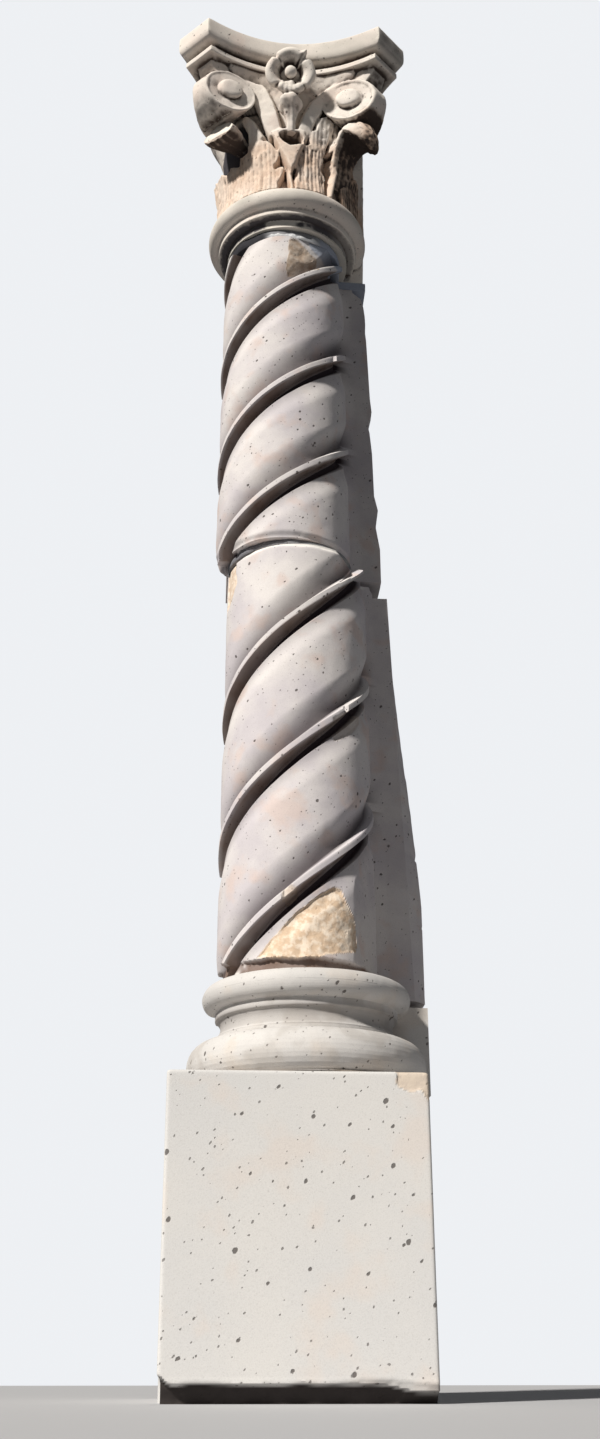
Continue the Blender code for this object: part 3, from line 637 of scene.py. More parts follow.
class PILASTER_OT_base(Step, bpy.types.Operator):
    """Build the moulded base with its two rolls, hollow and backing"""

    bl_idname = "pilaster.base"
    bl_label = "Base"

    def profile(self):
        """(radius, height) from the bed up, and the heights of the fillets' edges."""
        floor, top = BASE_FLOOR + INSET, BASE_TOP - INSET
        roll = 0.066
        low_edge = BASE_FLOOR + roll
        high_edge = low_edge + 0.006
        scotia_top = high_edge + 0.028
        fillet_top = scotia_top + 0.012
        half = (BASE_TOP - fillet_top) / 2
        line = [(0.168, floor), (0.172, floor + 0.002)]
        for degrees in (-64, -50, -36, -22, -10, 0, 12, 24, 36, 48, 58, 68, 76):
            rise = math.sin(degrees * DEG)
            height = BASE_FLOOR + 0.0304 + rise * roll * (0.54 if rise > 0 else 0.46)
            line.append((0.1395 + 0.0392 * math.cos(degrees * DEG) ** 0.8, height))
        line += [(0.1400, low_edge - 0.0008), (0.1392, low_edge)]
        line += [(0.1392, high_edge), (0.1350, high_edge + 0.0006)]
        for share in np.linspace(0.1, 0.95, 9):
            sink = 0.0085 * math.sin(math.pi * (0.12 + 0.88 * (1 - share)))
            line.append((0.1378 - sink, high_edge + share * 0.028))
        line += [(0.1372, scotia_top), (0.1377, scotia_top + 0.001), (0.1377, fillet_top - 0.0008)]
        line += half_round(0.1577, fillet_top + half, half, -88, 84, 18)
        line += [(0.132, top), (0.09, top)]
        return line, low_edge, high_edge, scotia_top, fillet_top

    def make(self, settings):
        part = settings.base
        shift = part.shift_m
        line, low_edge, high_edge, scotia_top, fillet_top = self.profile()
        rows = smooth_profile(line, 0.0022)
        turns = np.linspace(-99, 99, 232)
        radius, height = rows[:, :1], rows[:, 1:]
        front = around(radius, turns[None, :], height, shift)
        worn = noise(front, 0.05, 41, 3) * 0.0007 + noise(front, 0.012, 43, 2) * 0.00025
        scale = (radius + worn - 0.0004) / radius
        front[..., 0] = shift + (front[..., 0] - shift) * scale
        front[..., 1] *= scale
        behind = BACK_FRONT - 0.0006
        front[..., 1] = np.minimum(front[..., 1], behind)
        left, right = shift - 0.107, shift + 0.190 - INSET
        back_top = BASE_TOP - 0.019
        over = height[:, 0] > back_top
        plan = [(right - 0.02, 0.0278), (right, 0.0285), (right, 0.075), (right, WALL)]
        plan += [(0.0, WALL), (left, WALL), (left, 0.0278)]
        corners = []
        for x, y in plan:
            inner = np.clip(x, shift - 0.12, shift + 0.12)
            corners.append(np.stack([np.where(over, inner, x), np.where(over, behind, y), height[:, 0]], 1))
        rings = np.concatenate([front, np.stack(corners, 1)], 1)
        step = np.searchsorted(height[:, 0], back_top)
        shelf = rings[[step - 1, step]]
        shelf[..., 2] = [[back_top], [back_top + 0.0002]]
        rings = np.concatenate([rings[:step], shelf, rings[step:]], 0)
        rings = rings[np.argsort(rings[:, 0, 2], kind="stable")]
        front = rings[:, : len(turns)]
        spread = np.hypot(front[..., 0] - shift, front[..., 1])
        z = front[..., 2]
        # Painted shade: the hollow of the scotia and the groove over the lower roll are darkened through the
        # hollow layer.
        dent = ease(high_edge - 0.001, high_edge + 0.008, z) * ease(fillet_top + 0.004, scotia_top, z)
        hollow = 0.45 * dent + 0.8 * ease(0.140, 0.137, spread) * ease(low_edge + 0.008, low_edge, z)
        stain_and_shade = 0.30 * ease(fillet_top + 0.012, fillet_top, z) * ease(0.0, 0.4, noise(front, 0.03, 61, 3))
        made = tube("base", rings, {"stain_and_shade": padded(stain_and_shade, rings), "hollow": padded(hollow, rings)})
        saw(made)
        settle(made, "moulded_base", stone("Cream base stone", part.look))


# The shaft

# Sideways place, climb from band to band, and radius at mid height, for the lower and the upper stone
LOWER_SHIFT, UPPER_SHIFT = 0.0045, -0.018
LOWER_STEP, UPPER_STEP = 0.228, 0.204
LOWER_ARC, UPPER_ARC = 0.119, 0.109
SWEEP_DEG, COLUMNS, ROW_M = 208.0, 214, 0.0021

# Spalls of the lower stone: outline in (degrees, height), depth, roughness, seed and how bare it is
SPALLS = (
    (
        ((-34, 0.589), (-27, 0.606), (-19, 0.622), (-10, 0.642), (0, 0.662), (12, 0.683), (25.5, 0.7),
         (31, 0.695), (35, 0.675), (41, 0.656), (45, 0.640), (47, 0.612), (42, 0.602), (30, 0.597),
         (12, 0.588), (-8, 0.583)),
        0.0030, 0.0034, 81, 1.0,
    ),
    (
        ((-13.5, 0.692), (-8, 0.697), (-2.5, 0.690), (-1.5, 0.676), (-5, 0.664), (-11, 0.664),
         (-14.5, 0.676)),
        0.0045, 0.0015, 84, 0.55,
    ),
    (
        ((-66, 1.30), (-62, 1.262), (-61, 1.236), (-66, 1.222), (-74, 1.205), (-88, 1.20), (-88, 1.30)),
        0.0035, 0.0012, 88, 0.8,
    ),
    (((24, 0.974), (28, 0.936), (42, 0.951), (60, 0.985), (60, 1.02)), 0.0025, 0.0018, 89, 0.28),
)
HEAD_SPALL = (
    (-1, 1.860), (1, 1.890), (1.5, 1.925), (9, 1.929), (15, 1.922), (20, 1.914), (27, 1.905), (33, 1.900),
    (35, 1.886), (32, 1.868), (22, 1.860), (12, 1.852), (1, 1.845),
)
HEAD_SMEAR = ((20, 1.938), (26, 1.918), (40, 1.905), (54, 1.900), (66, 1.896), (74, 1.90), (74, 1.94))

# Nicks in the lower backing's arris, in metres, and bites out of the upper one's, in millimetres, by height
NOTCHES = ((0.675, 0.681, 0.686, 0.79, 0.796, 0.802, 0.93, 0.94), (0, 0.004, 0, 0, 0.004, 0, 0, 0.001))
BITES = (
    (1.29, 1.30, 1.36, 1.405, 1.44, 1.47, 1.56, 1.605, 1.62,
     1.65, 1.68, 1.81, 1.83, 1.85, 1.87, 1.89, 1.91, 1.925),
    (8.0, 8.0, 6.0, 11.0, 5.0, 10.0, 8.5, 10.5, 13.0, 4.0, 5.5, 5.0, 6.0, 4.5, 4.5, 6.0, 10.0, 26.0),
)


class ShaftSettings(bpy.types.PropertyGroup):
    """Sizes of the spiral."""

    groove_m: length("Groove", "Depth of the groove below each band", GROOVE)
    band_m: length("Band", "Height of each thin band", 0.013)
    lower_rise_m: length("Lower rise", "Climb of one turn on the lower stone", 0.60)
    upper_rise_m: length("Upper rise", "Climb of one turn on the upper stone", 0.52)
    look: bpy.props.PointerProperty(type=StoneLook)


def back_edge(height):
    share = (height - LOWER_FLOOR) / (UPPER_TOP - LOWER_FLOOR)
    return 0.190 + share * (0.1405 - 0.190)


def lower_back(height):
    """Front edge of the lower backing and how far its worn chamfer stands out beyond it."""
    edge = back_edge(height) - INSET
    out = 0.026 * ease(1.30, 0.60, height) - 0.007 * ease(0.600, 0.565, height)
    return edge, np.clip(np.minimum(out - np.interp(height, *NOTCHES), 0.2085 - edge), 0.001, 1)


def upper_back(height):
    """Front edge of the upper backing: bitten along its length, with its top corner lost."""
    return back_edge(height) - INSET - np.interp(height, *BITES) / 1000, np.full(np.shape(height), 0.0008)


class Skin:
    """A shaft stone's round: radius, angle and height of each point by rows, with each row's front height."""

    def __init__(self, tree, material, part, floor, top, first, bands, step, rise, shift, worn):
        reach = rise / 360 * SWEEP_DEG / 2 + 0.012
        low, high = floor - reach, top + reach
        rows = int((high - low) / ROW_M)
        last = first + bands * step
        grid = grown(
            tree, material, Columns=COLUMNS, Rows=rows, Low=low, High=high, Sweep=SWEEP_DEG, Rise=rise,
            First_band=first, Last_band=last, Band_step=step, Foot_height=LOWER_FLOOR, Taper=TAPER,
            Shift=shift, Groove_depth=part.groove_m, Band_height=part.band_m,
        )
        x, y = np.moveaxis(grid[..., :2] - (shift, 0), -1, 0)
        radius = np.hypot(x, y)
        self.shift, self.turn, self.height = shift, np.degrees(np.arctan2(x, -y)), grid[..., 2]
        self.row = np.linspace(low, high, rows)[:, None]
        self.points = around(radius, self.turn, self.height, shift)
        over = (np.clip(self.row, first - step / 2, last + step / 2) - first) % step
        # Painted shade: the ceiling is the underside of each band, painted dark as shade through the stain
        # colour, and how sunk a point lies in the groove darkens it as painted shade and dirt.
        self.ceiling = ease(step - 0.014, step - 0.009, over) * ease(step, step - 0.001, over)
        full = FOOT_RADIUS - TAPER * (self.height - LOWER_FLOOR)
        self.sunk = np.clip((full - radius) / GROOVE, 0, 1.2) * (0.9 - 0.7 * self.ceiling)
        amount, size, seed = worn
        fine = 0.0004 * noise(self.points, 0.018, seed + 1, 2)
        self.radius = radius + amount * noise(self.points, size, seed, 2) + fine - 0.0006

    def snap(self, centre, distance, low, high, rough, seed, half):
        """Breaks the round back to a rough flat at an angle, between two front heights."""
        away = np.abs(self.turn - centre)
        flat = distance / np.cos(np.clip(away, 0, 75) * DEG) + rough * noise(self.points, 0.016, seed, 3)
        ends = ease(low + 0.001, low - 0.003, self.row)
        flat = flat + 0.05 * (ease(half - 8, half, away) + ends + ease(high - 0.001, high + 0.003, self.row))
        lost = np.maximum(self.radius - flat, 0)
        self.radius = self.radius - lost
        return lost

    def spall(self, outline, arc, depth, rough, seed):
        """Knocks a flake off inside an outline of (degrees, height), and returns how bare each point is."""
        corners = np.array(outline) * (arc * DEG, 1)
        lost, bare = flake(self.points, self.turn * arc * DEG, self.height, corners, depth, rough, seed)
        self.radius = self.radius - lost
        return bare

    def closed(self, left, back):
        """The rings, closed behind along the backing that leans in on the right."""
        front = around(self.radius, self.turn, self.height, self.shift)
        first, last = front[:, 0], front[:, -1]
        middle, half = (first[:, 2] + last[:, 2]) / 2, (last[:, 2] - first[:, 2]) / 2
        columns = []
        for share, place, y in (
            (0.97, "joint", BACK_FRONT), (0.94, 0.0, BACK_FRONT), (0.90, 0.5, BACK_FRONT + 0.010),
            (0.86, 1.0, BACK_FRONT + 0.022), (0.76, 1.0, 0.09), (0.62, 1.0, WALL - INSET),
            (0.0, "middle", WALL - INSET), (-0.62, "left", WALL - INSET), (-0.92, "left", BACK_FRONT),
        ):
            point = np.zeros((len(front), 3))
            point[:, 2] = middle + half * share
            edge, out = back(point[:, 2])
            fixed = {"joint": (edge + last[:, 0]) / 2, "middle": 0.02, "left": left}
            if place in fixed:
                point[:, 0] = fixed[place]
            else:
                point[:, 0] = edge + place * out + 0.0006 * noise(point, 0.02, 55, 2) * (place > 0)
            point[:, 1] = y
            columns.append(point)
        return np.concatenate([front, np.stack(columns, 1)], 1)


def trim(made):
    """Takes the round's toe and the backing's shoulder off the lower stone."""
    for low, high in (
        ((-0.3, -0.3, LOWER_FLOOR - 0.05), (0.3, BACK_FRONT - 0.0002, LOWER_FLOOR + INSET)),
        ((-0.3, BACK_FRONT - 0.0001, LOWER_TOP - 0.022), (0.3, 0.3, LOWER_TOP + 0.05)),
    ):
        tool = linked("cutter", bpy.data.meshes.new("cutter"))
        with editing(tool.data) as bm:
            bmesh.ops.create_cube(bm, size=1.0)
            for vert in bm.verts:
                vert.co = [high[axis] if vert.co[axis] > 0 else low[axis] for axis in range(3)]
        step = made.modifiers.new("Trim", "BOOLEAN")
        step.operation = "DIFFERENCE"
        step.solver = "EXACT"
        step.object = tool
        made.data = evaluated(made)
        bpy.data.objects.remove(tool)


class PILASTER_OT_shaft(Step, bpy.types.Operator):
    """Build the two shaft stones with their spiral, breaks and backing"""

    bl_idname = "pilaster.shaft"
    bl_label = "Shaft"

    def make(self, settings):
        part = settings.shaft
        material = stone("Lilac shaft stone", part.look)
        tree = spiral_tree()
        self.lower(part, tree, material)
        self.upper(part, tree, material)
        bpy.data.node_groups.remove(tree)

    def lower(self, part, tree, material):
        """The lower stone: its spalls and chips, the brown neck under it and the facet on its right."""
        floor, shift = LOWER_FLOOR - 0.0085, LOWER_SHIFT
        first = LOWER_FLOOR + 0.1305
        last, lip = first + 2 * LOWER_STEP, first - 0.026
        skin = Skin(
            tree, material, part, floor, LOWER_TOP, first, 2, LOWER_STEP, part.lower_rise_m, shift,
            (0.0011, 0.09, 71),
        )
        facet = ease(0.0003, 0.0012, skin.snap(63.0, 0.1135, lip - 0.30, lip + 0.002, 0.0010, 83, 40))
        fresh = 0.0
        for outline, depth, rough, seed, share in SPALLS:
            fresh = np.maximum(fresh, skin.spall(outline, LOWER_ARC, depth, rough, seed) * share)
        skin.snap(66.0, 0.0990, last + 0.008, 3.0, 0.0008, 86, 60)
        chip = last - LOWER_STEP
        skin.snap(37.0, 0.1145, chip + 0.0005, chip + 0.012, 0.0016, 87, 8)
        radius, turn, height = skin.radius, skin.turn, skin.height
        rag = noise(skin.points, 0.035, 91, 3)
        brow = LOWER_FLOOR + 0.0185 + 0.004 * rag + 0.004 * ease(-20, -80, turn)
        under = ease(brow + 0.0012, brow - 0.0012, height)
        neck = np.minimum(radius, radius + (0.1115 + 0.002 * rag - radius) * under)
        crest = ease(LOWER_TOP - 0.010, LOWER_TOP - 0.001, height + 0.005 * rag)
        skin.radius = np.where(under > 0, neck, radius) - 0.0065 * crest**1.5
        white = ease(-62, -56, turn) * ease(-42, -48, turn) * under * ease(-0.1, 0.2, rag)
        # Painted shade: the facet on the right, which faces away from the light, and the underside of each
        # band are darkened; the neck under the brow is brown, and the backing behind is darkened slightly
        # throughout.
        stain_and_shade = np.maximum(0.85 * under * (1 + 0.2 * rag), 0.10 * facet)
        stain_and_shade = np.maximum(stain_and_shade, 0.75 * skin.ceiling * (1 + 0.4 * rag)) * (1 - white)
        pale = crest * ease(-70, -40, turn) + white
        rings = skin.closed(shift - 0.104, lower_back)
        layers = {
            "fresh": padded(np.where(under > 0.5, 0, fresh), rings), "stain_and_shade": padded(stain_and_shade, rings),
            "hollow": padded(skin.sunk - 1.2 * pale, rings, 0.2),
        }
        made = tube("lower_shaft", rings, layers)
        saw(made, beds(floor, LOWER_TOP))
        trim(made)
        settle(made, "lower_shaft_drum", material)

    def upper(self, part, tree, material):
        """The upper stone: its broken head with smeared mortar, a chip and the worn toe."""
        shift = UPPER_SHIFT
        first = UPPER_FLOOR + 0.112
        head = first + 3 * UPPER_STEP - UPPER_STEP
        skin = Skin(
            tree, material, part, UPPER_FLOOR, UPPER_TOP, first, 3, UPPER_STEP, part.upper_rise_m, shift,
            (0.0010, 0.08, 171),
        )
        skin.snap(26.0, 0.1010, head + 0.014, 3.0, 0.0010, 181, 34)
        fresh = skin.spall(HEAD_SPALL, UPPER_ARC, 0.0015, 0.0022, 185)
        chip = head - UPPER_STEP
        skin.snap(50.0, 0.1065, chip, chip + 0.012, 0.0014, 182, 9)
        smear_and_shade = skin.spall(HEAD_SMEAR, UPPER_ARC, 0.0, 0.0, 187)
        rag = noise(skin.points, 0.03, 191, 3)
        toe = ease(UPPER_FLOOR + 0.012, UPPER_FLOOR + 0.002, skin.height + 0.004 * rag)
        skin.radius = skin.radius + 0.0012 * smear_and_shade - 0.005 * toe**1.5
        # Painted shade under each band, and a little darkening behind; the brown on the spall is a stain.
        stain_and_shade = np.maximum(fresh * 0.35, 0.75 * skin.ceiling * (1 + 0.4 * rag))
        rings = skin.closed(shift - 0.096, upper_back)
        layers = {
            "fresh": padded(fresh * 0.85, rings), "stain_and_shade": padded(stain_and_shade, rings),
            "hollow": padded(skin.sunk, rings, 0.25), "smear_and_shade": padded(smear_and_shade, rings),
        }
        made = tube("upper_shaft", rings, layers)
        saw(made, beds(UPPER_FLOOR, UPPER_TOP))
        settle(made, "upper_shaft_drum", material)


# Mortar


class MortarSettings(bpy.types.PropertyGroup):
    """The two mortar beds."""

    rough_m: length("Roughness", "Unevenness of the beds' edges", 0.004)
    look: bpy.props.PointerProperty(type=StoneLook)


class PILASTER_OT_mortar(Step, bpy.types.Operator):
    """Build the squeezed mortar beds at the middle and the top of the shaft"""

    bl_idname = "pilaster.mortar"
    bl_label = "Mortar"

    def make(self, settings):
        part = settings.mortar
        material = stone("Grey mortar", part.look)
        self.middle(part, material)
        self.top(part, material)

    def middle(self, part, material):
        low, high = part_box("middle_mortar_bed")
        turns = np.linspace(-180, 180, 300, endpoint=False)[None, :]
        heights = np.linspace(low.z + INSET / 2, high.z - INSET / 2, 9)[:, None]
        between = -0.00675
        rings = self.bed(0.1065, turns, heights, between, part, 5)
        rings[..., 1] = np.minimum(rings[..., 1], high.y - INSET)
        self.lay("middle_mortar", "middle_mortar_bed", rings, {}, material)

    def top(self, part, material):
        """The bed under the capital: a white crust in front, blue smears, painted shade at the left under the
        astragal and a stub over the backing.
        """
        low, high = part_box("top_mortar_bed")
        turns = np.linspace(-106, 106, 200)[None, :]
        heights = np.linspace(low.z + INSET / 2, high.z - INSET / 2, 12)[:, None]
        arc = self.bed(0.1062, turns, heights, UPPER_SHIFT, part, 9)
        arc[..., 1] = np.minimum(arc[..., 1], BACK_FRONT)
        lift = (heights - (low.z + high.z) / 2 + 0.003) / 0.006
        crust = ease(-24, -14, turns) * ease(40, 26, turns) * ease(0.2, -0.1, noise(arc, 0.012, 15, 3) + lift)
        smear_and_shade = ease(20, 44, turns + 9 * noise(arc, 0.02, 16, 3))
        # Painted shade: the left of the bed, which lies in the astragal's shadow, is painted near black
        # through the stain colour.
        dark = ease(-14, -26, turns) + 0 * heights
        arc[..., 1] -= 0.0016 * crust
        right, back, left = high.x - INSET, high.y - INSET, low.x + 0.0075
        stub = [(right - 0.012, BACK_FRONT), (right, BACK_FRONT + 0.001), (right, 0.07), (right, back)]
        stub += [(0.0, back), (left, back), (left, BACK_FRONT)]
        behind = np.zeros((len(heights), len(stub), 3))
        behind[..., :2] = stub
        behind[..., 2] = heights
        behind[:, :3, 0] -= 0.0015 + 0.0015 * noise(behind, 0.02, 19, 2)[:, :3]
        rings = np.concatenate([arc, behind], 1)
        blue = padded(smear_and_shade * (1 - crust) * (1 - dark), rings, 1.0)
        layers = {"fresh": padded(crust, rings), "stain_and_shade": padded(dark, rings), "smear_and_shade": blue}
        self.lay("top_mortar", "top_mortar_bed", rings, layers, material)

    def bed(self, radius, turns, heights, shift, part, seed):
        """The uneven round edge of a bed that was squeezed out."""
        low, high = heights[0, 0], heights[-1, 0]
        bulge = 1 - ((heights - (low + high) / 2) / ((high - low) / 2)) ** 2
        points = around(radius, turns, heights, shift)
        out = radius + part.rough_m * (noise(points, 0.03, seed, 3) + 0.4 * bulge) - 0.002
        return around(out, turns, heights, shift)

    def lay(self, name, node, rings, layers, material):
        made = tube(name, rings, layers)
        saw(made)
        settle(made, node, material)


# The capital

# Sideways place, lift of the drawn heights, metres of arc to a degree, and the way the left break faces
SHIFT = -0.012
RISE = 0.022
ARC = 0.135 * DEG
BREAK = (-0.60, -0.76, 0.24)

# Outlines of the carving as (degrees from the front, height in metres before RISE is added)
LEFT_LEAF = (
    (-92, 1.98), (-92, 2.112), (-81, 2.113), (-77, 2.104), (-72, 2.103), (-66, 2.101), (-61, 2.089),
    (-57, 2.087), (-54, 2.095), (-50, 2.089), (-45, 2.081), (-43.5, 2.101), (-40, 2.098), (-36.5, 2.100),
    (-35, 2.114), (-28.5, 2.110), (-25, 2.117), (-19, 2.115), (-14.5, 2.105), (-11.5, 2.092), (-9.5, 2.087),
    (-8.5, 2.076), (-10, 2.065), (-13, 2.055), (-13, 2.049), (-10, 2.053), (-6, 2.054), (-4.5, 2.046),
    (-5.5, 2.035), (-8, 2.022), (-10, 2.012), (-9, 1.98),
)
LEFT_TOP = (
    (-38, 2.08), (-35.5, 2.112), (-35, 2.138), (-37, 2.152), (-39, 2.166), (-37, 2.173), (-34, 2.177),
    (-31, 2.173), (-27.5, 2.162), (-26, 2.153), (-23, 2.138), (-20, 2.121), (-22, 2.114), (-20, 2.08),
)
RIGHT_LEAF = (
    (2, 1.98), (3, 2.088), (4, 2.097), (7, 2.103), (11, 2.103), (14, 2.108), (19, 2.105), (26, 2.104),
    (27.5, 2.097), (27.5, 2.076), (26, 2.058), (28, 2.048), (30, 2.044), (28, 1.98),
)
RIGHT_TOP = (
    (14, 2.09), (13, 2.122), (14, 2.134), (17.5, 2.142), (18.5, 2.156), (21, 2.170), (25, 2.177), (29, 2.178),
    (33, 2.174), (34.5, 2.162), (34, 2.140), (31, 2.119), (28, 2.09),
)
RIGHT_BREAK = ((30, 2.10), (32, 2.16), (35, 2.186), (44, 2.192), (50, 2.165), (46, 2.13), (38, 2.10))
SIDE_LEAF = (
    (44, 1.98), (43, 2.036), (46, 2.047), (50, 2.050), (52, 2.067), (56, 2.082), (65, 2.096), (72, 2.090),
    (78, 2.075), (80, 2.050), (76, 2.020), (74, 1.98),
)
FAR_LEAF = ((80, 1.98), (80, 2.06), (84, 2.10), (90, 2.115), (97, 2.11), (101, 2.08), (104, 2.03), (104, 1.98))
CALYX = (
    (-15, 2.128), (-14.5, 2.112), (-10, 2.083), (-6, 2.061), (-3, 2.040), (0, 2.028), (4, 2.045), (6, 2.070),
    (9.5, 2.092), (12, 2.115), (10, 2.130), (0, 2.137), (-8, 2.136),
)
POCKET = (
    (-9.4, 2.121), (-5.6, 2.127), (0.4, 2.127), (5.7, 2.125), (8.9, 2.112), (8.9, 2.098), (4.3, 2.093),
    (-1.1, 2.090), (-5.6, 2.099), (-8.7, 2.111),
)
LEFT_BAND = (
    (-6, 2.112), (-18, 2.118), (-21.5, 2.139), (-25.5, 2.174), (-28, 2.194), (-40, 2.200), (-52, 2.225),
    (-52, 2.262), (-46, 2.264), (-32, 2.245), (-19.5, 2.234), (-16, 2.221), (-11.5, 2.191), (-8, 2.155),
    (-6, 2.129),
)
RIGHT_BAND = (
    (3, 2.112), (3, 2.129), (7, 2.165), (12.5, 2.198), (21, 2.225), (28, 2.245), (35, 2.255), (52, 2.262),
    (52, 2.225), (40, 2.210), (25, 2.189), (19.5, 2.157), (12, 2.104),
)
HOLLOW = (
    (-100, 2.100), (-81, 2.108), (-66, 2.095), (-57, 2.081), (-45, 2.076), (-40, 2.094), (-36, 2.108),
    (-37, 2.165), (-33, 2.185), (-40, 2.20), (-60, 2.19), (-100, 2.16),
)


class CapitalSettings(bpy.types.PropertyGroup):
    """Sizes of the capital."""

    voxel_m: length("Voxel", "Finest detail of the carving", 0.0015)
    faces: bpy.props.IntProperty(name="Faces", description="Triangles kept in the carving", default=190000)
    look: bpy.props.PointerProperty(type=StoneLook)


def within(turn, up, outline):
    """Distance in metres inside an outline on the bell; negative outside it."""
    return cover(turn * ARC, up, np.array(outline) * (ARC, 1))


def ridge(turn, up, path, half):
    """Round-topped ridge along a path of (degrees, height): 1 on its crest, 0 past its half width."""
    points = np.array(path) * (ARC, 1)
    nearest = np.full(np.broadcast(turn, up).shape, 9.0)
    for start, end in zip(points, points[1:]):
        nearest = np.minimum(nearest, away_from(turn * ARC, up, start, end))
    return np.sqrt(np.clip(1 - (nearest / half) ** 2, 0, 1))


def raised(radius, plain, face, share=1.0):
    """The skin, or where it is higher, the plain bell raised by a share of the way to a face."""
    return np.maximum(radius, plain + (face - plain) * share)


def layer(radius, turn, up, outline, front, round_m=0.005, ribs=0.0, seed=0):
    """Lays one carved layer over the bell: its face stands at the radius called front."""
    depth = within(turn, up, outline)
    shoulder = np.sqrt(1 - (1 - np.clip(depth / round_m, 0, 1)) ** 2)
    if ribs:
        wave = np.cos(turn * 1.9 + 2.2 * np.sin(turn / 6 + seed) + 20 * (up - 2.0))
        coarse = np.cos(turn * 0.62 + seed)
        front = front - ribs * ((0.5 + 0.5 * wave) ** 2.5 + 0.5 * coarse) * np.clip(depth / 0.010, 0.3, 1)
    return raised(radius, radius, front, shoulder * (depth > 0))


def carved(turn, height):
    """Radius of the bell with its lip, bands and leaves, before the free pieces are added."""
    up = height - RISE
    side = np.abs(turn)
    plain = np.interp(up, (1.99, 2.10, 2.18, 2.23, 2.262), (0.115, 0.117, 0.127, 0.142, 0.158)) + 0 * turn
    flat = np.abs((side + 45) % 90 - 45)
    plan = (0.150 + 0.050 * (0.165 * np.sin(flat * DEG) / 0.15) ** 2) / np.cos(flat * DEG)
    flare = ease(2.190, 2.264, up) ** 1.6 * ease(102, 92, side) * ease(10, 34, side)
    radius = raised(plain, plain, np.minimum(plan, 0.205), flare)
    radius = radius - (radius - 0.120) * ease(-0.004, 0.010, within(turn, up, HOLLOW))
    band = np.interp(up, (2.11, 2.16, 2.20, 2.24, 2.268), (0.140, 0.150, 0.157, 0.165, 0.170))
    band = band + 0.030 * ease(20, 44, side) * ease(2.17, 2.21, up)
    leaf = 0.1345 + 0.13 * np.maximum(up - 2.055, 0) + 0.004 * ease(2.03, 1.995, up)
    curl = np.maximum(up - 2.11, 0)
    lines = np.stack(np.broadcast_arrays(turn * ARC * 3.0, up * 1.2, up * 0), -1)
    lines = 0.0030 * noise(lines, 0.016, 207, 2)
    for given in (
        (LEFT_BAND, band, 0.006), (RIGHT_BAND, band, 0.006),
        (LEFT_TOP, leaf + 0.12 * curl, 0.006, 0.0008, 3), (RIGHT_TOP, leaf + 0.06 * curl, 0.006, 0.0012, 4),
        (RIGHT_BREAK, 0.146 + 1.6 * lines, 0.008),
    ):
        radius = layer(radius, turn, up, *given)
    hood = 0.129 + 0.008 * ridge(turn, up, ((52, 2.15), (51, 2.06), (46, 1.99)), 0.0075)
    hood = hood + 0.008 * ridge(turn, up, ((64, 2.15), (63, 2.06), (59, 1.99)), 0.0075)
    radius = raised(radius, plain, hood, ease(33, 37, turn) * ease(86, 80, turn) * ease(2.17, 2.14, up))
    fold = ((46, 2.150), (39, 2.100), (36, 2.076), (38, 2.062), (36, 2.041), (31, 1.980))
    crease = 0.141 + 0.12 * np.maximum(up - 2.08, 0)
    radius = raised(radius, plain, crease, ridge(turn, up, fold, 0.0085))
    for given in (
        (SIDE_LEAF, 0.1385 + 0.15 * np.maximum(up - 2.06, 0), 0.005, 0.0012, 5),
        (FAR_LEAF, 0.134, 0.005, 0.0012, 6), (LEFT_LEAF, leaf + 0.6 * lines, 0.0040, 0.0018, 1),
        (RIGHT_LEAF, leaf + 0.7 * lines, 0.0045, 0.0022, 2), (CALYX, 0.1470, 0.007),
    ):
        radius = layer(radius, turn, up, *given)
    for path in (((-2, 2.06), (-1, 2.03), (2, 1.98)), ((4, 2.06), (6, 2.03), (7, 1.98))):
        radius = raised(radius, plain, 0.137, ridge(turn, up, path, 0.0062))
    return radius - (radius - 0.118) * ease(0.0, 0.003, within(turn, up, POCKET))


def spline(points, count):
    """A smooth path through the points."""
    points = np.array(points, float)
    longer = np.concatenate([2 * points[:1] - points[1:2], points, 2 * points[-1:] - points[-2:-1]])
    made = []
    for stop in np.linspace(0, len(points) - 1, count):
        i = min(int(stop), len(points) - 2)
        t = stop - i
        a, b, c, d = longer[i : i + 4]
        bend, twist = 2 * a - 5 * b + 4 * c - d, 3 * b - a - 3 * c + d
        made.append(0.5 * (2 * b + (c - a) * t + bend * t**2 + twist * t**3))
    return np.array(made)


def corner(side, out, across, height):
    """Points on a front corner's diagonal, by their distance out along it, across it and up."""
    x, y = side * math.sqrt(0.5), -math.sqrt(0.5)
    parts = np.broadcast_arrays(SHIFT + x * out - y * across, y * out + x * across, height)
    return np.stack(parts, -1)


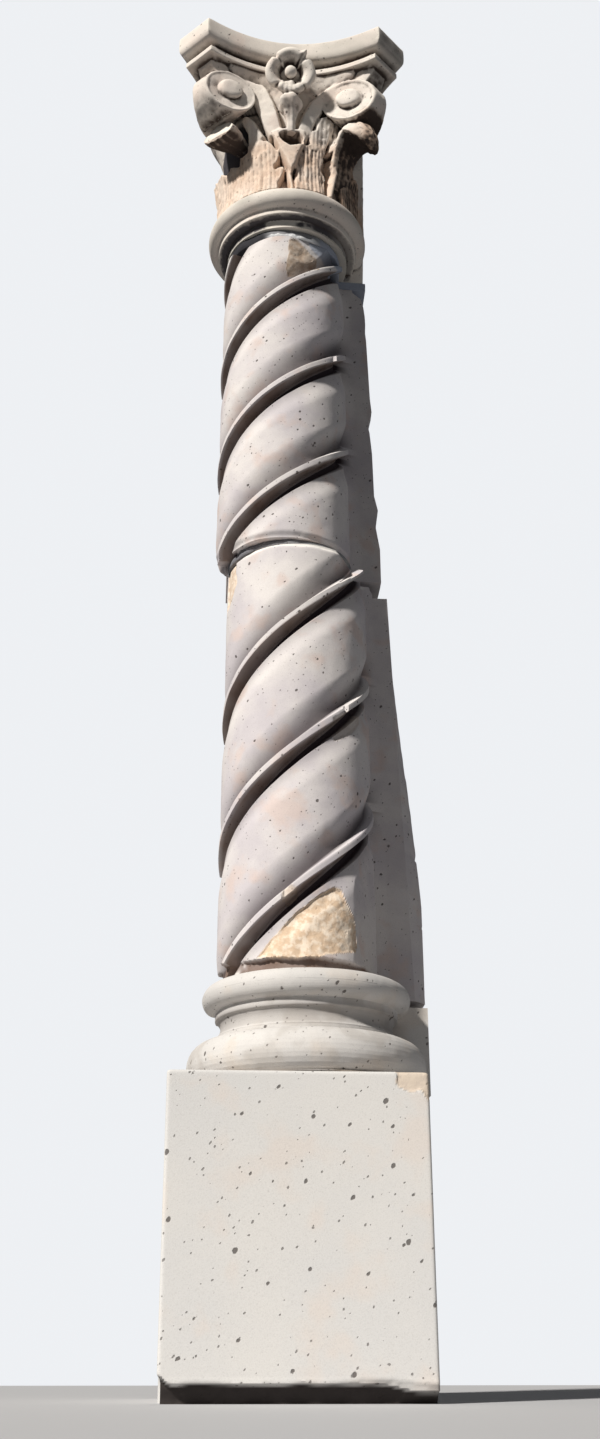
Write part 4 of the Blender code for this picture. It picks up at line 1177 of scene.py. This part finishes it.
class PILASTER_OT_capital(Step, bpy.types.Operator):
    """Carve the capital: bell, leaves, scrolls, flower and abacus in one stone"""

    bl_idname = "pilaster.capital"
    bl_label = "Capital"

    def make(self, settings):
        part = settings.capital
        shells = [self.core(), self.abacus(), self.backing(), self.stalk()]
        for side in (-1, 1):
            shells += [self.volute(side), self.horn(side), self.leaf_tip(side)]
        whole = self.fuse(shells + self.flower(), part)
        self.weather(whole)
        cuts = beds(CAPITAL_FLOOR, CAPITAL_TOP) + [((0, WALL - INSET, 0), (0, 1, 0))]
        saw(whole, cuts)
        total = sum(len(face.vertices) - 2 for face in whole.data.polygons)
        whole.modifiers.new("Thin", "DECIMATE").ratio = min(1.0, part.faces / total)
        whole.data = evaluated(whole)
        sweep(whole.data)
        self.colour(whole.data)
        whole.name = whole.data.name = "capital_carving"
        settle(whole, "capital", stone("Tawny capital stone", part.look), 60)

    def core(self):
        """The necking, the astragal and the carved bell."""
        z = RISE
        profile = [(0.113, CAPITAL_FLOOR - 0.006), (0.113, 1.9425 + z), (0.1296, 1.944 + z)]
        profile += [(0.1300, 1.946 + z), (0.1300, 1.9556 + z)]
        profile += half_round(0.1492, 1.9756 + z, 0.0198, -86, 84, 18)
        rows = smooth_profile(profile, 0.003)
        turns = np.linspace(-180, 180, 680, endpoint=False)[None, :]
        heights = np.arange(1.997 + z, 2.268 + z, 0.0014)[:, None]
        lower = around(rows[:, :1], turns, rows[:, 1:], SHIFT)
        upper = around(carved(turns, heights), turns, heights, SHIFT)
        return tube("core", np.concatenate([lower, upper], 0))

    def abacus(self):
        rings = []
        for inset, height in (
            (0.085, 2.240), (0.060, 2.256), (0.030, 2.2612), (0.0155, 2.2616), (0.0145, 2.263),
            (0.0145, 2.2725), (0.0155, 2.2740), (0.027, 2.2755), (0.027, 2.2845), (0.0125, 2.2852),
            (0.0075, 2.2866), (0.0038, 2.2895), (0.0016, 2.2935), (0.0004, 2.2985), (0.0002, 2.3045),
            (0.0002, 2.3140), (0.0004, 2.3200), (0.0009, 2.3245), (0.0016, 2.3270), (0.0020, 2.3290),
            (0.0020, 2.3320),
        ):
            half, tip = 0.2146 - inset, 0.1597 - inset * 0.45
            front = [(x, 0.050 * (1 - (x / tip) ** 2) - half) for x in np.linspace(-tip, tip, 90)]
            side = [(half - 0.050 * (1 - (y / tip) ** 2), y) for y in np.linspace(-tip, BACK_FRONT, 60)]
            plan = front + side + [(-x, y) for x, y in reversed(side)]
            rings.append([(x + SHIFT, y, height + RISE) for x, y in plan])
        return tube("abacus", rings)

    def backing(self):
        rings = []
        left, back = SHIFT - 0.104, WALL + 0.004
        low, high = CAPITAL_FLOOR - 0.004, CAPITAL_TOP + 0.003
        for height, width in ((low, 0.148), (2.05 + RISE, 0.152), (high, 0.1555)):
            right = SHIFT + width
            plan = ((left, BACK_FRONT), (right, BACK_FRONT), (right, back), (left, back))
            rings.append([(x, y, height) for x, y in plan])
        return tube("backing", rings)

    def stalk(self):
        """The flower's stalk with its collar, leaning a little to the left."""
        rings = []
        turns = circle(36)
        for height, radius, out in (
            (2.124, 0.0070, 0.141), (2.133, 0.0080, 0.143), (2.145, 0.0088, 0.145), (2.155, 0.0108, 0.148),
            (2.165, 0.0145, 0.151), (2.172, 0.0195, 0.154), (2.178, 0.0225, 0.156), (2.184, 0.0212, 0.159),
            (2.190, 0.0150, 0.161), (2.215, 0.0130, 0.168),
        ):
            radius = radius * (1 + 0.08 * np.cos(turns * 5))
            x = SHIFT - 0.045 * (height - 2.11) + radius * np.cos(turns)
            rings.append(np.stack([x, radius * np.sin(turns) - out, np.full(36, height + RISE)], -1))
        return tube("stalk", rings)

    def volute(self, side):
        """A corner scroll: splayed discs on one rim, each dished, with a raised button for its eye."""
        left = side < 0
        reach, centre, disc = (0.2005, 2.1945 + RISE, 0.0465) if left else (0.188, 2.1965 + RISE, 0.0480)
        lift = 0.004 if left else 0.002
        splay = math.tan(25 * DEG)
        steps = (
            (1.0, -0.004), (0.985, -0.0008), (0.96, 0.0008), (0.91, 0.0008), (0.87, -0.0004),
            (0.84, -0.0020), (0.72, -0.0030), (0.58, -0.0042), (0.50, -0.0052), (0.455, -0.0052),
            (0.43, 0.0030), (0.38, 0.0062), (0.28, 0.0078), (0.14, 0.0086), (0.02, 0.0088),
        )
        turns = circle(84)
        open_side = 0.25 + 0.75 * ease(-0.35, 0.45, -np.sin(turns - 0.35)) if left else 1.0
        rings = []
        for face, (share, proud) in [(-1, step) for step in reversed(steps)] + [(1, step) for step in steps]:
            out = disc * share * np.cos(turns)
            dished = proud * (open_side if proud < -0.001 and share < 0.9 else 1.0)
            across = face * (0.0165 + (disc - out) * splay + dished)
            height = centre + disc * share * np.sin(turns) + lift * ease(0.7, 0.43, share)
            rings.append(corner(side, reach + out, across, height))
        return tube("volute", rings)

    def horn(self, side):
        """The narrow lip of the bell under each horn of the abacus."""
        across = np.array((-1, 1, 1.25, -1.25))
        rings = [
            corner(side, out, across * half, np.array((low, low, 2.266, 2.266)) + RISE)
            for out, low, half in (
                (0.13, 2.20, 0.030), (0.19, 2.222, 0.027), (0.214, 2.232, 0.023), (0.226, 2.246, 0.019),
                (0.233, 2.258, 0.016),
            )
        ]
        return tube("horn", rings)

    def leaf_tip(self, side):
        """The hooded end of a corner leaf. The left one hangs free where the leaf below it is lost."""
        droop, nodes = (2.5, (
            (0.118, 2.124, 0.014, 0.011), (0.142, 2.129, 0.021, 0.017), (0.168, 2.128, 0.030, 0.022),
            (0.188, 2.123, 0.033, 0.023), (0.201, 2.119, 0.030, 0.018), (0.207, 2.117, 0.018, 0.010),
            (0.209, 2.116, 0.004, 0.002),
        )) if side < 0 else (9.0, (
            (0.124, 2.030, 0.020, 0.009), (0.130, 2.075, 0.026, 0.011), (0.138, 2.112, 0.030, 0.012),
            (0.152, 2.138, 0.034, 0.013), (0.172, 2.150, 0.040, 0.014), (0.192, 2.141, 0.042, 0.015),
            (0.205, 2.121, 0.037, 0.013), (0.208, 2.103, 0.026, 0.009), (0.206, 2.094, 0.006, 0.003),
        ))
        path = spline([node[:2] for node in nodes], 36)
        size = np.maximum(spline([node[2:] for node in nodes], 36), 0.001)
        ahead = np.gradient(path, axis=0)
        ahead /= np.linalg.norm(ahead, axis=1)[:, None]
        rings = []
        turns = circle(48)
        for (rho, height), (half, thick), (along, up) in zip(path, size, ahead):
            across = half * np.cos(turns)
            lobes = 1 - 0.10 * np.cos(across / 0.0135 * np.pi) ** 2
            lift = thick * np.sin(turns) * lobes - droop * across**2
            top = height + along * lift + RISE - 0.3 * droop * across**2
            rings.append(corner(side, rho - up * lift, across, top))
        return tube("tip", rings)

    def flower(self):
        """Four cupped petals and a ball, leaning out over the abacus."""
        centre = np.array((SHIFT - 0.004, -0.182, 2.231 + RISE))
        lean = 24 * DEG
        right = np.array((1.0, 0.0, 0.0))
        up = np.array((0.0, -math.sin(lean), math.cos(lean)))
        out = np.array((0.0, -math.cos(lean), -math.sin(lean)))

        def ring(middle, far, turns):
            return middle + right * (far * np.cos(turns))[:, None] + up * (far * np.sin(turns))[:, None]

        turns = circle(160)
        degrees = np.degrees(turns)
        crease = np.clip(1 - np.abs(45 - np.abs((degrees + 360 - 45) % 90 - 45)) / 9, 0, 1)
        point = np.clip(1 - np.abs(degrees - 56) / 9, 0, 1)
        low_side = ease(60, 30, np.abs(degrees - 268))
        outer = 0.0465 * (1 + 0.03 * np.cos(4 * turns)) * (1 - 0.13 * crease**1.5)
        outer = outer + 0.007 * point - 0.0050 * low_side
        rings = []
        for share, depth in (
            (0.40, -0.036), (0.62, -0.026), (0.86, -0.014), (0.97, -0.004), (1.0, 0.001), (0.975, 0.0055),
            (0.91, 0.0085), (0.82, 0.0100), (0.72, 0.0090), (0.62, 0.0065), (0.54, 0.0020), (0.47, -0.0060),
            (0.41, -0.0120), (0.20, -0.0135), (0.03, -0.0135),
        ):
            gap = 0.0050 * crease**1.3 * (share > 0.6)
            lift = 0.0025 * low_side * (0.6 < share < 1.0) + 0.003 * point * (share > 0.8)
            pleat = 0.0005 * np.cos(turns * 24) * low_side * (0.6 < share < 0.98)
            level = depth - gap + lift + pleat
            rings.append(ring(centre, outer * share, turns) + out * level[:, None])
        cup = ((-0.052, 0.014), (-0.036, 0.017), (-0.022, 0.019), (-0.012, 0.019), (-0.008, 0.010))
        return [
            tube("petals", rings), self.ball(centre + out * 0.0015 + up * 0.001, 0.0115),
            tube("calyx", [ring(centre + out * depth, radius, circle(40)) for depth, radius in cup]),
        ]

    def ball(self, centre, radius):
        rings = []
        turns = circle(28)
        for tilt in np.linspace(-84, 84, 13) * DEG:
            across = radius * math.cos(tilt)
            x, y = centre[0] + across * np.cos(turns), centre[1] + across * np.sin(turns)
            rings.append(np.stack([x, y, np.full(28, centre[2] + radius * math.sin(tilt))], -1))
        return tube("heart", rings)

    def fuse(self, shells, part):
        """Fuses the overlapping shells into one skin of fine voxels."""
        whole = linked("capital_carving", bpy.data.meshes.new("carving"))
        with editing(whole.data) as bm:
            for shell in shells:
                saw(shell)
                bm.from_mesh(shell.data)
                bpy.data.objects.remove(shell)
        step = whole.modifiers.new("Fuse", "REMESH")
        step.mode = "VOXEL"
        step.voxel_size = part.voxel_m * 1.0
        whole.data = evaluated(whole)
        return whole

    def weather(self, whole):
        """Roughens the skin, and breaks the end of the left leaf off."""
        mesh = whole.data
        points, normals = read(mesh, "co"), read(mesh, "normal", np.float32)
        z = points[:, 2]
        worked = ease(1.99 + RISE, 2.02 + RISE, z) * ease(2.262 + RISE, 2.25 + RISE, z)
        rough = 0.0003 + 0.0009 * worked
        away = np.linalg.norm(points - (SHIFT + 0.118, -0.118, 2.115 + RISE), axis=1)
        rough += 0.0016 * ease(0.075, 0.055, away) * worked
        points += normals * (rough * noise(points, 0.014, 301, 3) - 0.0003)[:, None]
        stub = ease(2.1490 + RISE, 2.1465 + RISE, points[:, 2])
        centre = (SHIFT - 0.1385, -0.1335, 2.122 + RISE)
        cut = chop(points, centre, BREAK, rough=0.0030, seed=311, reach=0.052, fade=0.010)
        points += (cut - points) * stub[:, None]
        mesh.vertices.foreach_set("co", points.ravel())
        mesh.update()

    def colour(self, mesh):
        """Paints the dirt and painted shade in hollows and under overhangs, painted shadow in the dark hollow,
        the pocket and under the necking, the tawny patina and the pale break as layers for the material.
        """
        points, facing = read(mesh, "co"), read(mesh, "normal", np.float32)
        x, y, z = points[:, 0] - SHIFT, points[:, 1], points[:, 2] - RISE
        turn, far = np.degrees(np.arctan2(x, -y)), np.hypot(x, y)
        patch = noise(points, 0.03, 331, 3)
        above = ease(1.99, 2.00, z)
        leafy = above * ease(2.13, 2.10, z + 0.02 * patch)
        hood = ease(34, 42, turn) * ease(100, 84, turn) * ease(2.172, 2.160, z) * above
        tawny = np.maximum(leafy * (0.55 + 0.35 * patch), hood * (0.85 + 0.3 * patch))
        # Painted shadow: the hollow left of the front under the volute and leaf tip, the calyx pocket and the
        # ring under the necking collar are painted blue-black through the smear layer.
        hollow_shadow = ease(-0.003, 0.004, within(turn, z, HOLLOW)) * ease(0.132, 0.127, far)
        pit = ease(-0.002, 0.003, within(turn, z, POCKET)) * ease(0.134, 0.126, far)
        soffit = ease(1.9446, 1.9438, z) * ease(0.1285, 0.1270, far)
        crust = ease(-26, -18, turn) * ease(24, 14, turn) * ease(-0.35, -0.1, patch)
        crust = crust * ease(0.1138, 0.1132, far) * soffit
        soffit = soffit * (0.95 - 0.35 * ease(35, 60, turn)) * (1 - crust)
        away = np.linalg.norm(points - (SHIFT - 0.128, -0.128, 2.128 + RISE), axis=1)
        tip = ease(0.062, 0.050, away) * ease(2.150, 2.146, z)
        pale = tip * ease(2.112, 2.116, z + 0.005 * patch) * ease(0.1, 0.4, facing @ np.array(BREAK))
        # Painted shade: downward faces, the broken left tip apart from its pale break, the hood of the right
        # leaf, and the right side of the abacus and horn facing away from the light are darkened.
        below = ease(-0.1, -0.8, facing[:, 2]) * above
        dirt_and_shade = hollow_of(mesh) + 0.45 * below + 0.5 * tip * (1 - pale) + 0.55 * hood - 0.8 * pale - 2 * crust
        dirt_and_shade += 0.5 * ease(0.10, 0.14, x) * ease(0.3, 0.8, facing[:, 0]) * ease(2.20, 2.23, z)
        moss = ease(2.262, 2.29, z) * ease(-0.15, 0.1, x) + ease(1.96, 1.975, z) * ease(1.998, 1.985, z)
        add_layer(mesh, "smear_and_shade", np.maximum(np.maximum(hollow_shadow, pit), soffit) * 0.95)
        add_layer(mesh, "fresh", np.clip(tawny * 0.9, 0, 0.9))
        add_layer(mesh, "stain_and_shade", np.clip(0.35 * moss * (0.7 + patch), 0, 0.6))
        add_layer(mesh, "hollow", np.clip(dirt_and_shade, -1, 1))


# The stage

# The camera, fitted to the edges and rings of the photograph; its angles are in radians
CAMERA_PLACE, CAMERA_SHIFT = (-0.1366, -2.1887, 0.0519), (0.0057, 0.0041)
LOOK_UP, LOOK_RIGHT = 0.4101, 0.0611


class StageSettings(bpy.types.PropertyGroup):
    """Light and camera."""

    lens_mm: number("Lens", "Focal length for a 36 mm long side", 36.49)
    key: number("Key", "Strength of the main light", 4.8)
    fill: number("Fill", "Strength of the fill light", 0.12)
    sky: number("Sky", "Strength of the soft light all round", 0.11)


class PILASTER_OT_stage(Step, bpy.types.Operator):
    """Set up the pale floor, the soft light and the camera of the photograph"""

    bl_idname = "pilaster.stage"
    bl_label = "Stage"

    def make(self, settings):
        part = settings.stage
        scene = bpy.context.scene
        self.floor(1.3)
        world = scene.world = bpy.data.worlds.new("Studio")
        world.use_nodes = True
        back = world.node_tree.nodes["Background"]
        back.inputs["Color"].default_value = (0.95, 0.97, 1.0, 1.0)
        seen = add_node(world.node_tree, "ShaderNodeLightPath", "Is Camera Ray")
        put(world.node_tree, back.inputs["Strength"], seen * (0.9 - part.sky) + part.sky)
        self.light("key", part.key, (1.0, 0.965, 0.91), left_deg=44, up_deg=37, spread_deg=5)
        self.light("fill", part.fill, (0.88, 0.92, 1.0), left_deg=-60, up_deg=12, spread_deg=60)
        camera = bpy.data.cameras.new("camera")
        camera.sensor_width = 36.0
        camera.lens = part.lens_mm
        camera.shift_x, camera.shift_y = CAMERA_SHIFT
        scene.camera = linked("camera", camera)
        scene.camera.location = CAMERA_PLACE
        scene.camera.rotation_euler = (math.pi / 2 + LOOK_UP, 0.0, -LOOK_RIGHT)
        scene.view_settings.view_transform = "Standard"

    def floor(self, size):
        mesh = bpy.data.meshes.new("floor")
        corners = [(-size, -size, 0), (size, -size, 0), (size, size, 0), (-size, size, 0)]
        mesh.from_pydata(corners, [], [(0, 1, 2, 3)])
        pale = bpy.data.materials.new("Pale floor")
        pale.use_nodes = True
        shader = pale.node_tree.nodes["Principled BSDF"]
        shader.inputs["Base Color"].default_value = (0.50, 0.50, 0.51, 1.0)
        shader.inputs["Roughness"].default_value = 0.9
        mesh.materials.append(pale)
        linked("floor", mesh)

    def light(self, name, strength, tone, left_deg, up_deg, spread_deg):
        """A broad far light that stands left of the front and above the floor by these angles."""
        data = bpy.data.lights.new(name, "SUN")
        data.angle = spread_deg * DEG
        data.energy = strength
        data.color = tone
        made = linked(name, data)
        made.location = (-2.0 * math.sin(left_deg * DEG), -2.0 * math.cos(left_deg * DEG), 3.0)
        made.rotation_euler = ((90 - up_deg) * DEG, 0.0, -left_deg * DEG)


# The add-on

STEPS = ("block", "base", "shaft", "mortar", "capital", "stage")


class PilasterSettings(bpy.types.PropertyGroup):
    """All settings of the pilaster."""

    block: bpy.props.PointerProperty(type=BlockSettings)
    base: bpy.props.PointerProperty(type=BaseSettings)
    shaft: bpy.props.PointerProperty(type=ShaftSettings)
    mortar: bpy.props.PointerProperty(type=MortarSettings)
    capital: bpy.props.PointerProperty(type=CapitalSettings)
    stage: bpy.props.PointerProperty(type=StageSettings)


class PILASTER_PT_panel(bpy.types.Panel):
    """Buttons and settings of the pilaster"""

    bl_label = "Spiral pilaster"
    bl_idname = "PILASTER_PT_panel"
    bl_space_type = "VIEW_3D"
    bl_region_type = "UI"
    bl_category = "Pilaster"

    def draw(self, context):
        for name in STEPS:
            area = self.layout.box()
            group = getattr(context.scene.pilaster, name)
            for key in group.bl_rna.properties.keys():
                if key not in ("rna_type", "name", "look"):
                    area.prop(group, key)
            area.operator(f"pilaster.{name}")


CLASSES = (
    StoneLook, BlockSettings, BaseSettings, ShaftSettings, MortarSettings, CapitalSettings, StageSettings,
    PilasterSettings, PILASTER_OT_block, PILASTER_OT_base, PILASTER_OT_shaft, PILASTER_OT_mortar,
    PILASTER_OT_capital, PILASTER_OT_stage, PILASTER_PT_panel,
)

# Each stone's own look, over the defaults
LOOKS = {
    # The block's near-black stain colour paints shade in the undercut foot and is also a stain.
    "block": dict(
        light=(0.660, 0.642, 0.618), tint=(0.632, 0.622, 0.610), blush=(0.675, 0.610, 0.560),
        stain_and_shade=(0.045, 0.038, 0.036), fresh_light=(0.66, 0.54, 0.42), fresh_dark=(0.60, 0.49, 0.39),
        pit_scale=66.0, pit_size=0.25, pit_rare=0.9, cloud_scale=5.0,
    ),
    "base": dict(
        light=(0.65, 0.625, 0.60), tint=(0.59, 0.57, 0.55), blush=(0.63, 0.57, 0.51),
        stain_and_shade=(0.34, 0.30, 0.26), pit_scale=72.0, pit_rare=1.2, dirt_and_shade=0.8,
    ),
    # The shaft's dark dirt and stain colours paint shade in the grooves and under the bands, dirt, and the
    # brown of the neck.
    "shaft": dict(
        light=(0.72, 0.68, 0.66), tint=(0.58, 0.54, 0.56), blush=(0.66, 0.53, 0.48),
        stain_and_shade=(0.17, 0.105, 0.075), smear_and_shade=(0.40, 0.43, 0.50), fresh_light=(0.88, 0.75, 0.61),
        fresh_dark=(0.68, 0.51, 0.36), dirt_and_shade_colour=(0.045, 0.032, 0.036), pit_scale=92.0, pit_size=0.25,
        pit_rare=0.9, pit_stretch=1.35, dirt_and_shade=1.2, wear=0.8, cloud_scale=7.0,
    ),
    # The mortar's dark greys are partly painted shade, for the top bed lies under the astragal, and its stain
    # colour is painted shade.
    "mortar": dict(
        light=(0.30, 0.30, 0.31), tint=(0.20, 0.20, 0.22), blush=(0.36, 0.36, 0.34),
        stain_and_shade=(0.035, 0.034, 0.040), fresh_light=(0.85, 0.85, 0.85), fresh_dark=(0.72, 0.73, 0.75),
        pit_scale=200.0, bump=0.9,
    ),
    # The capital's smear colour is painted shadow, and its dirt colour paints dirt and shade.
    "capital": dict(
        light=(0.83, 0.765, 0.690), tint=(0.72, 0.645, 0.585), blush=(0.80, 0.68, 0.60),
        stain_and_shade=(0.27, 0.28, 0.24), fresh_light=(0.76, 0.54, 0.38), fresh_dark=(0.56, 0.35, 0.22),
        smear_and_shade=(0.030, 0.029, 0.042), worn_colour=(0.84, 0.79, 0.70), dirt_and_shade_colour=(0.070, 0.052, 0.044),
        pit_scale=100.0, pit_size=0.24, dirt_and_shade=1.1, wear=0.6,
    ),
}


def register():
    for made in CLASSES:
        bpy.utils.register_class(made)
    bpy.types.Scene.pilaster = bpy.props.PointerProperty(type=PilasterSettings)


def unregister():
    del bpy.types.Scene.pilaster
    for made in reversed(CLASSES):
        bpy.utils.unregister_class(made)


def main():
    register()
    settings = bpy.context.scene.pilaster
    for name, values in LOOKS.items():
        for key, value in values.items():
            setattr(getattr(settings, name).look, key, value)
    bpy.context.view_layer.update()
    for name in STEPS:
        getattr(bpy.ops.pilaster, name)()


if __name__ == "__main__":
    main()
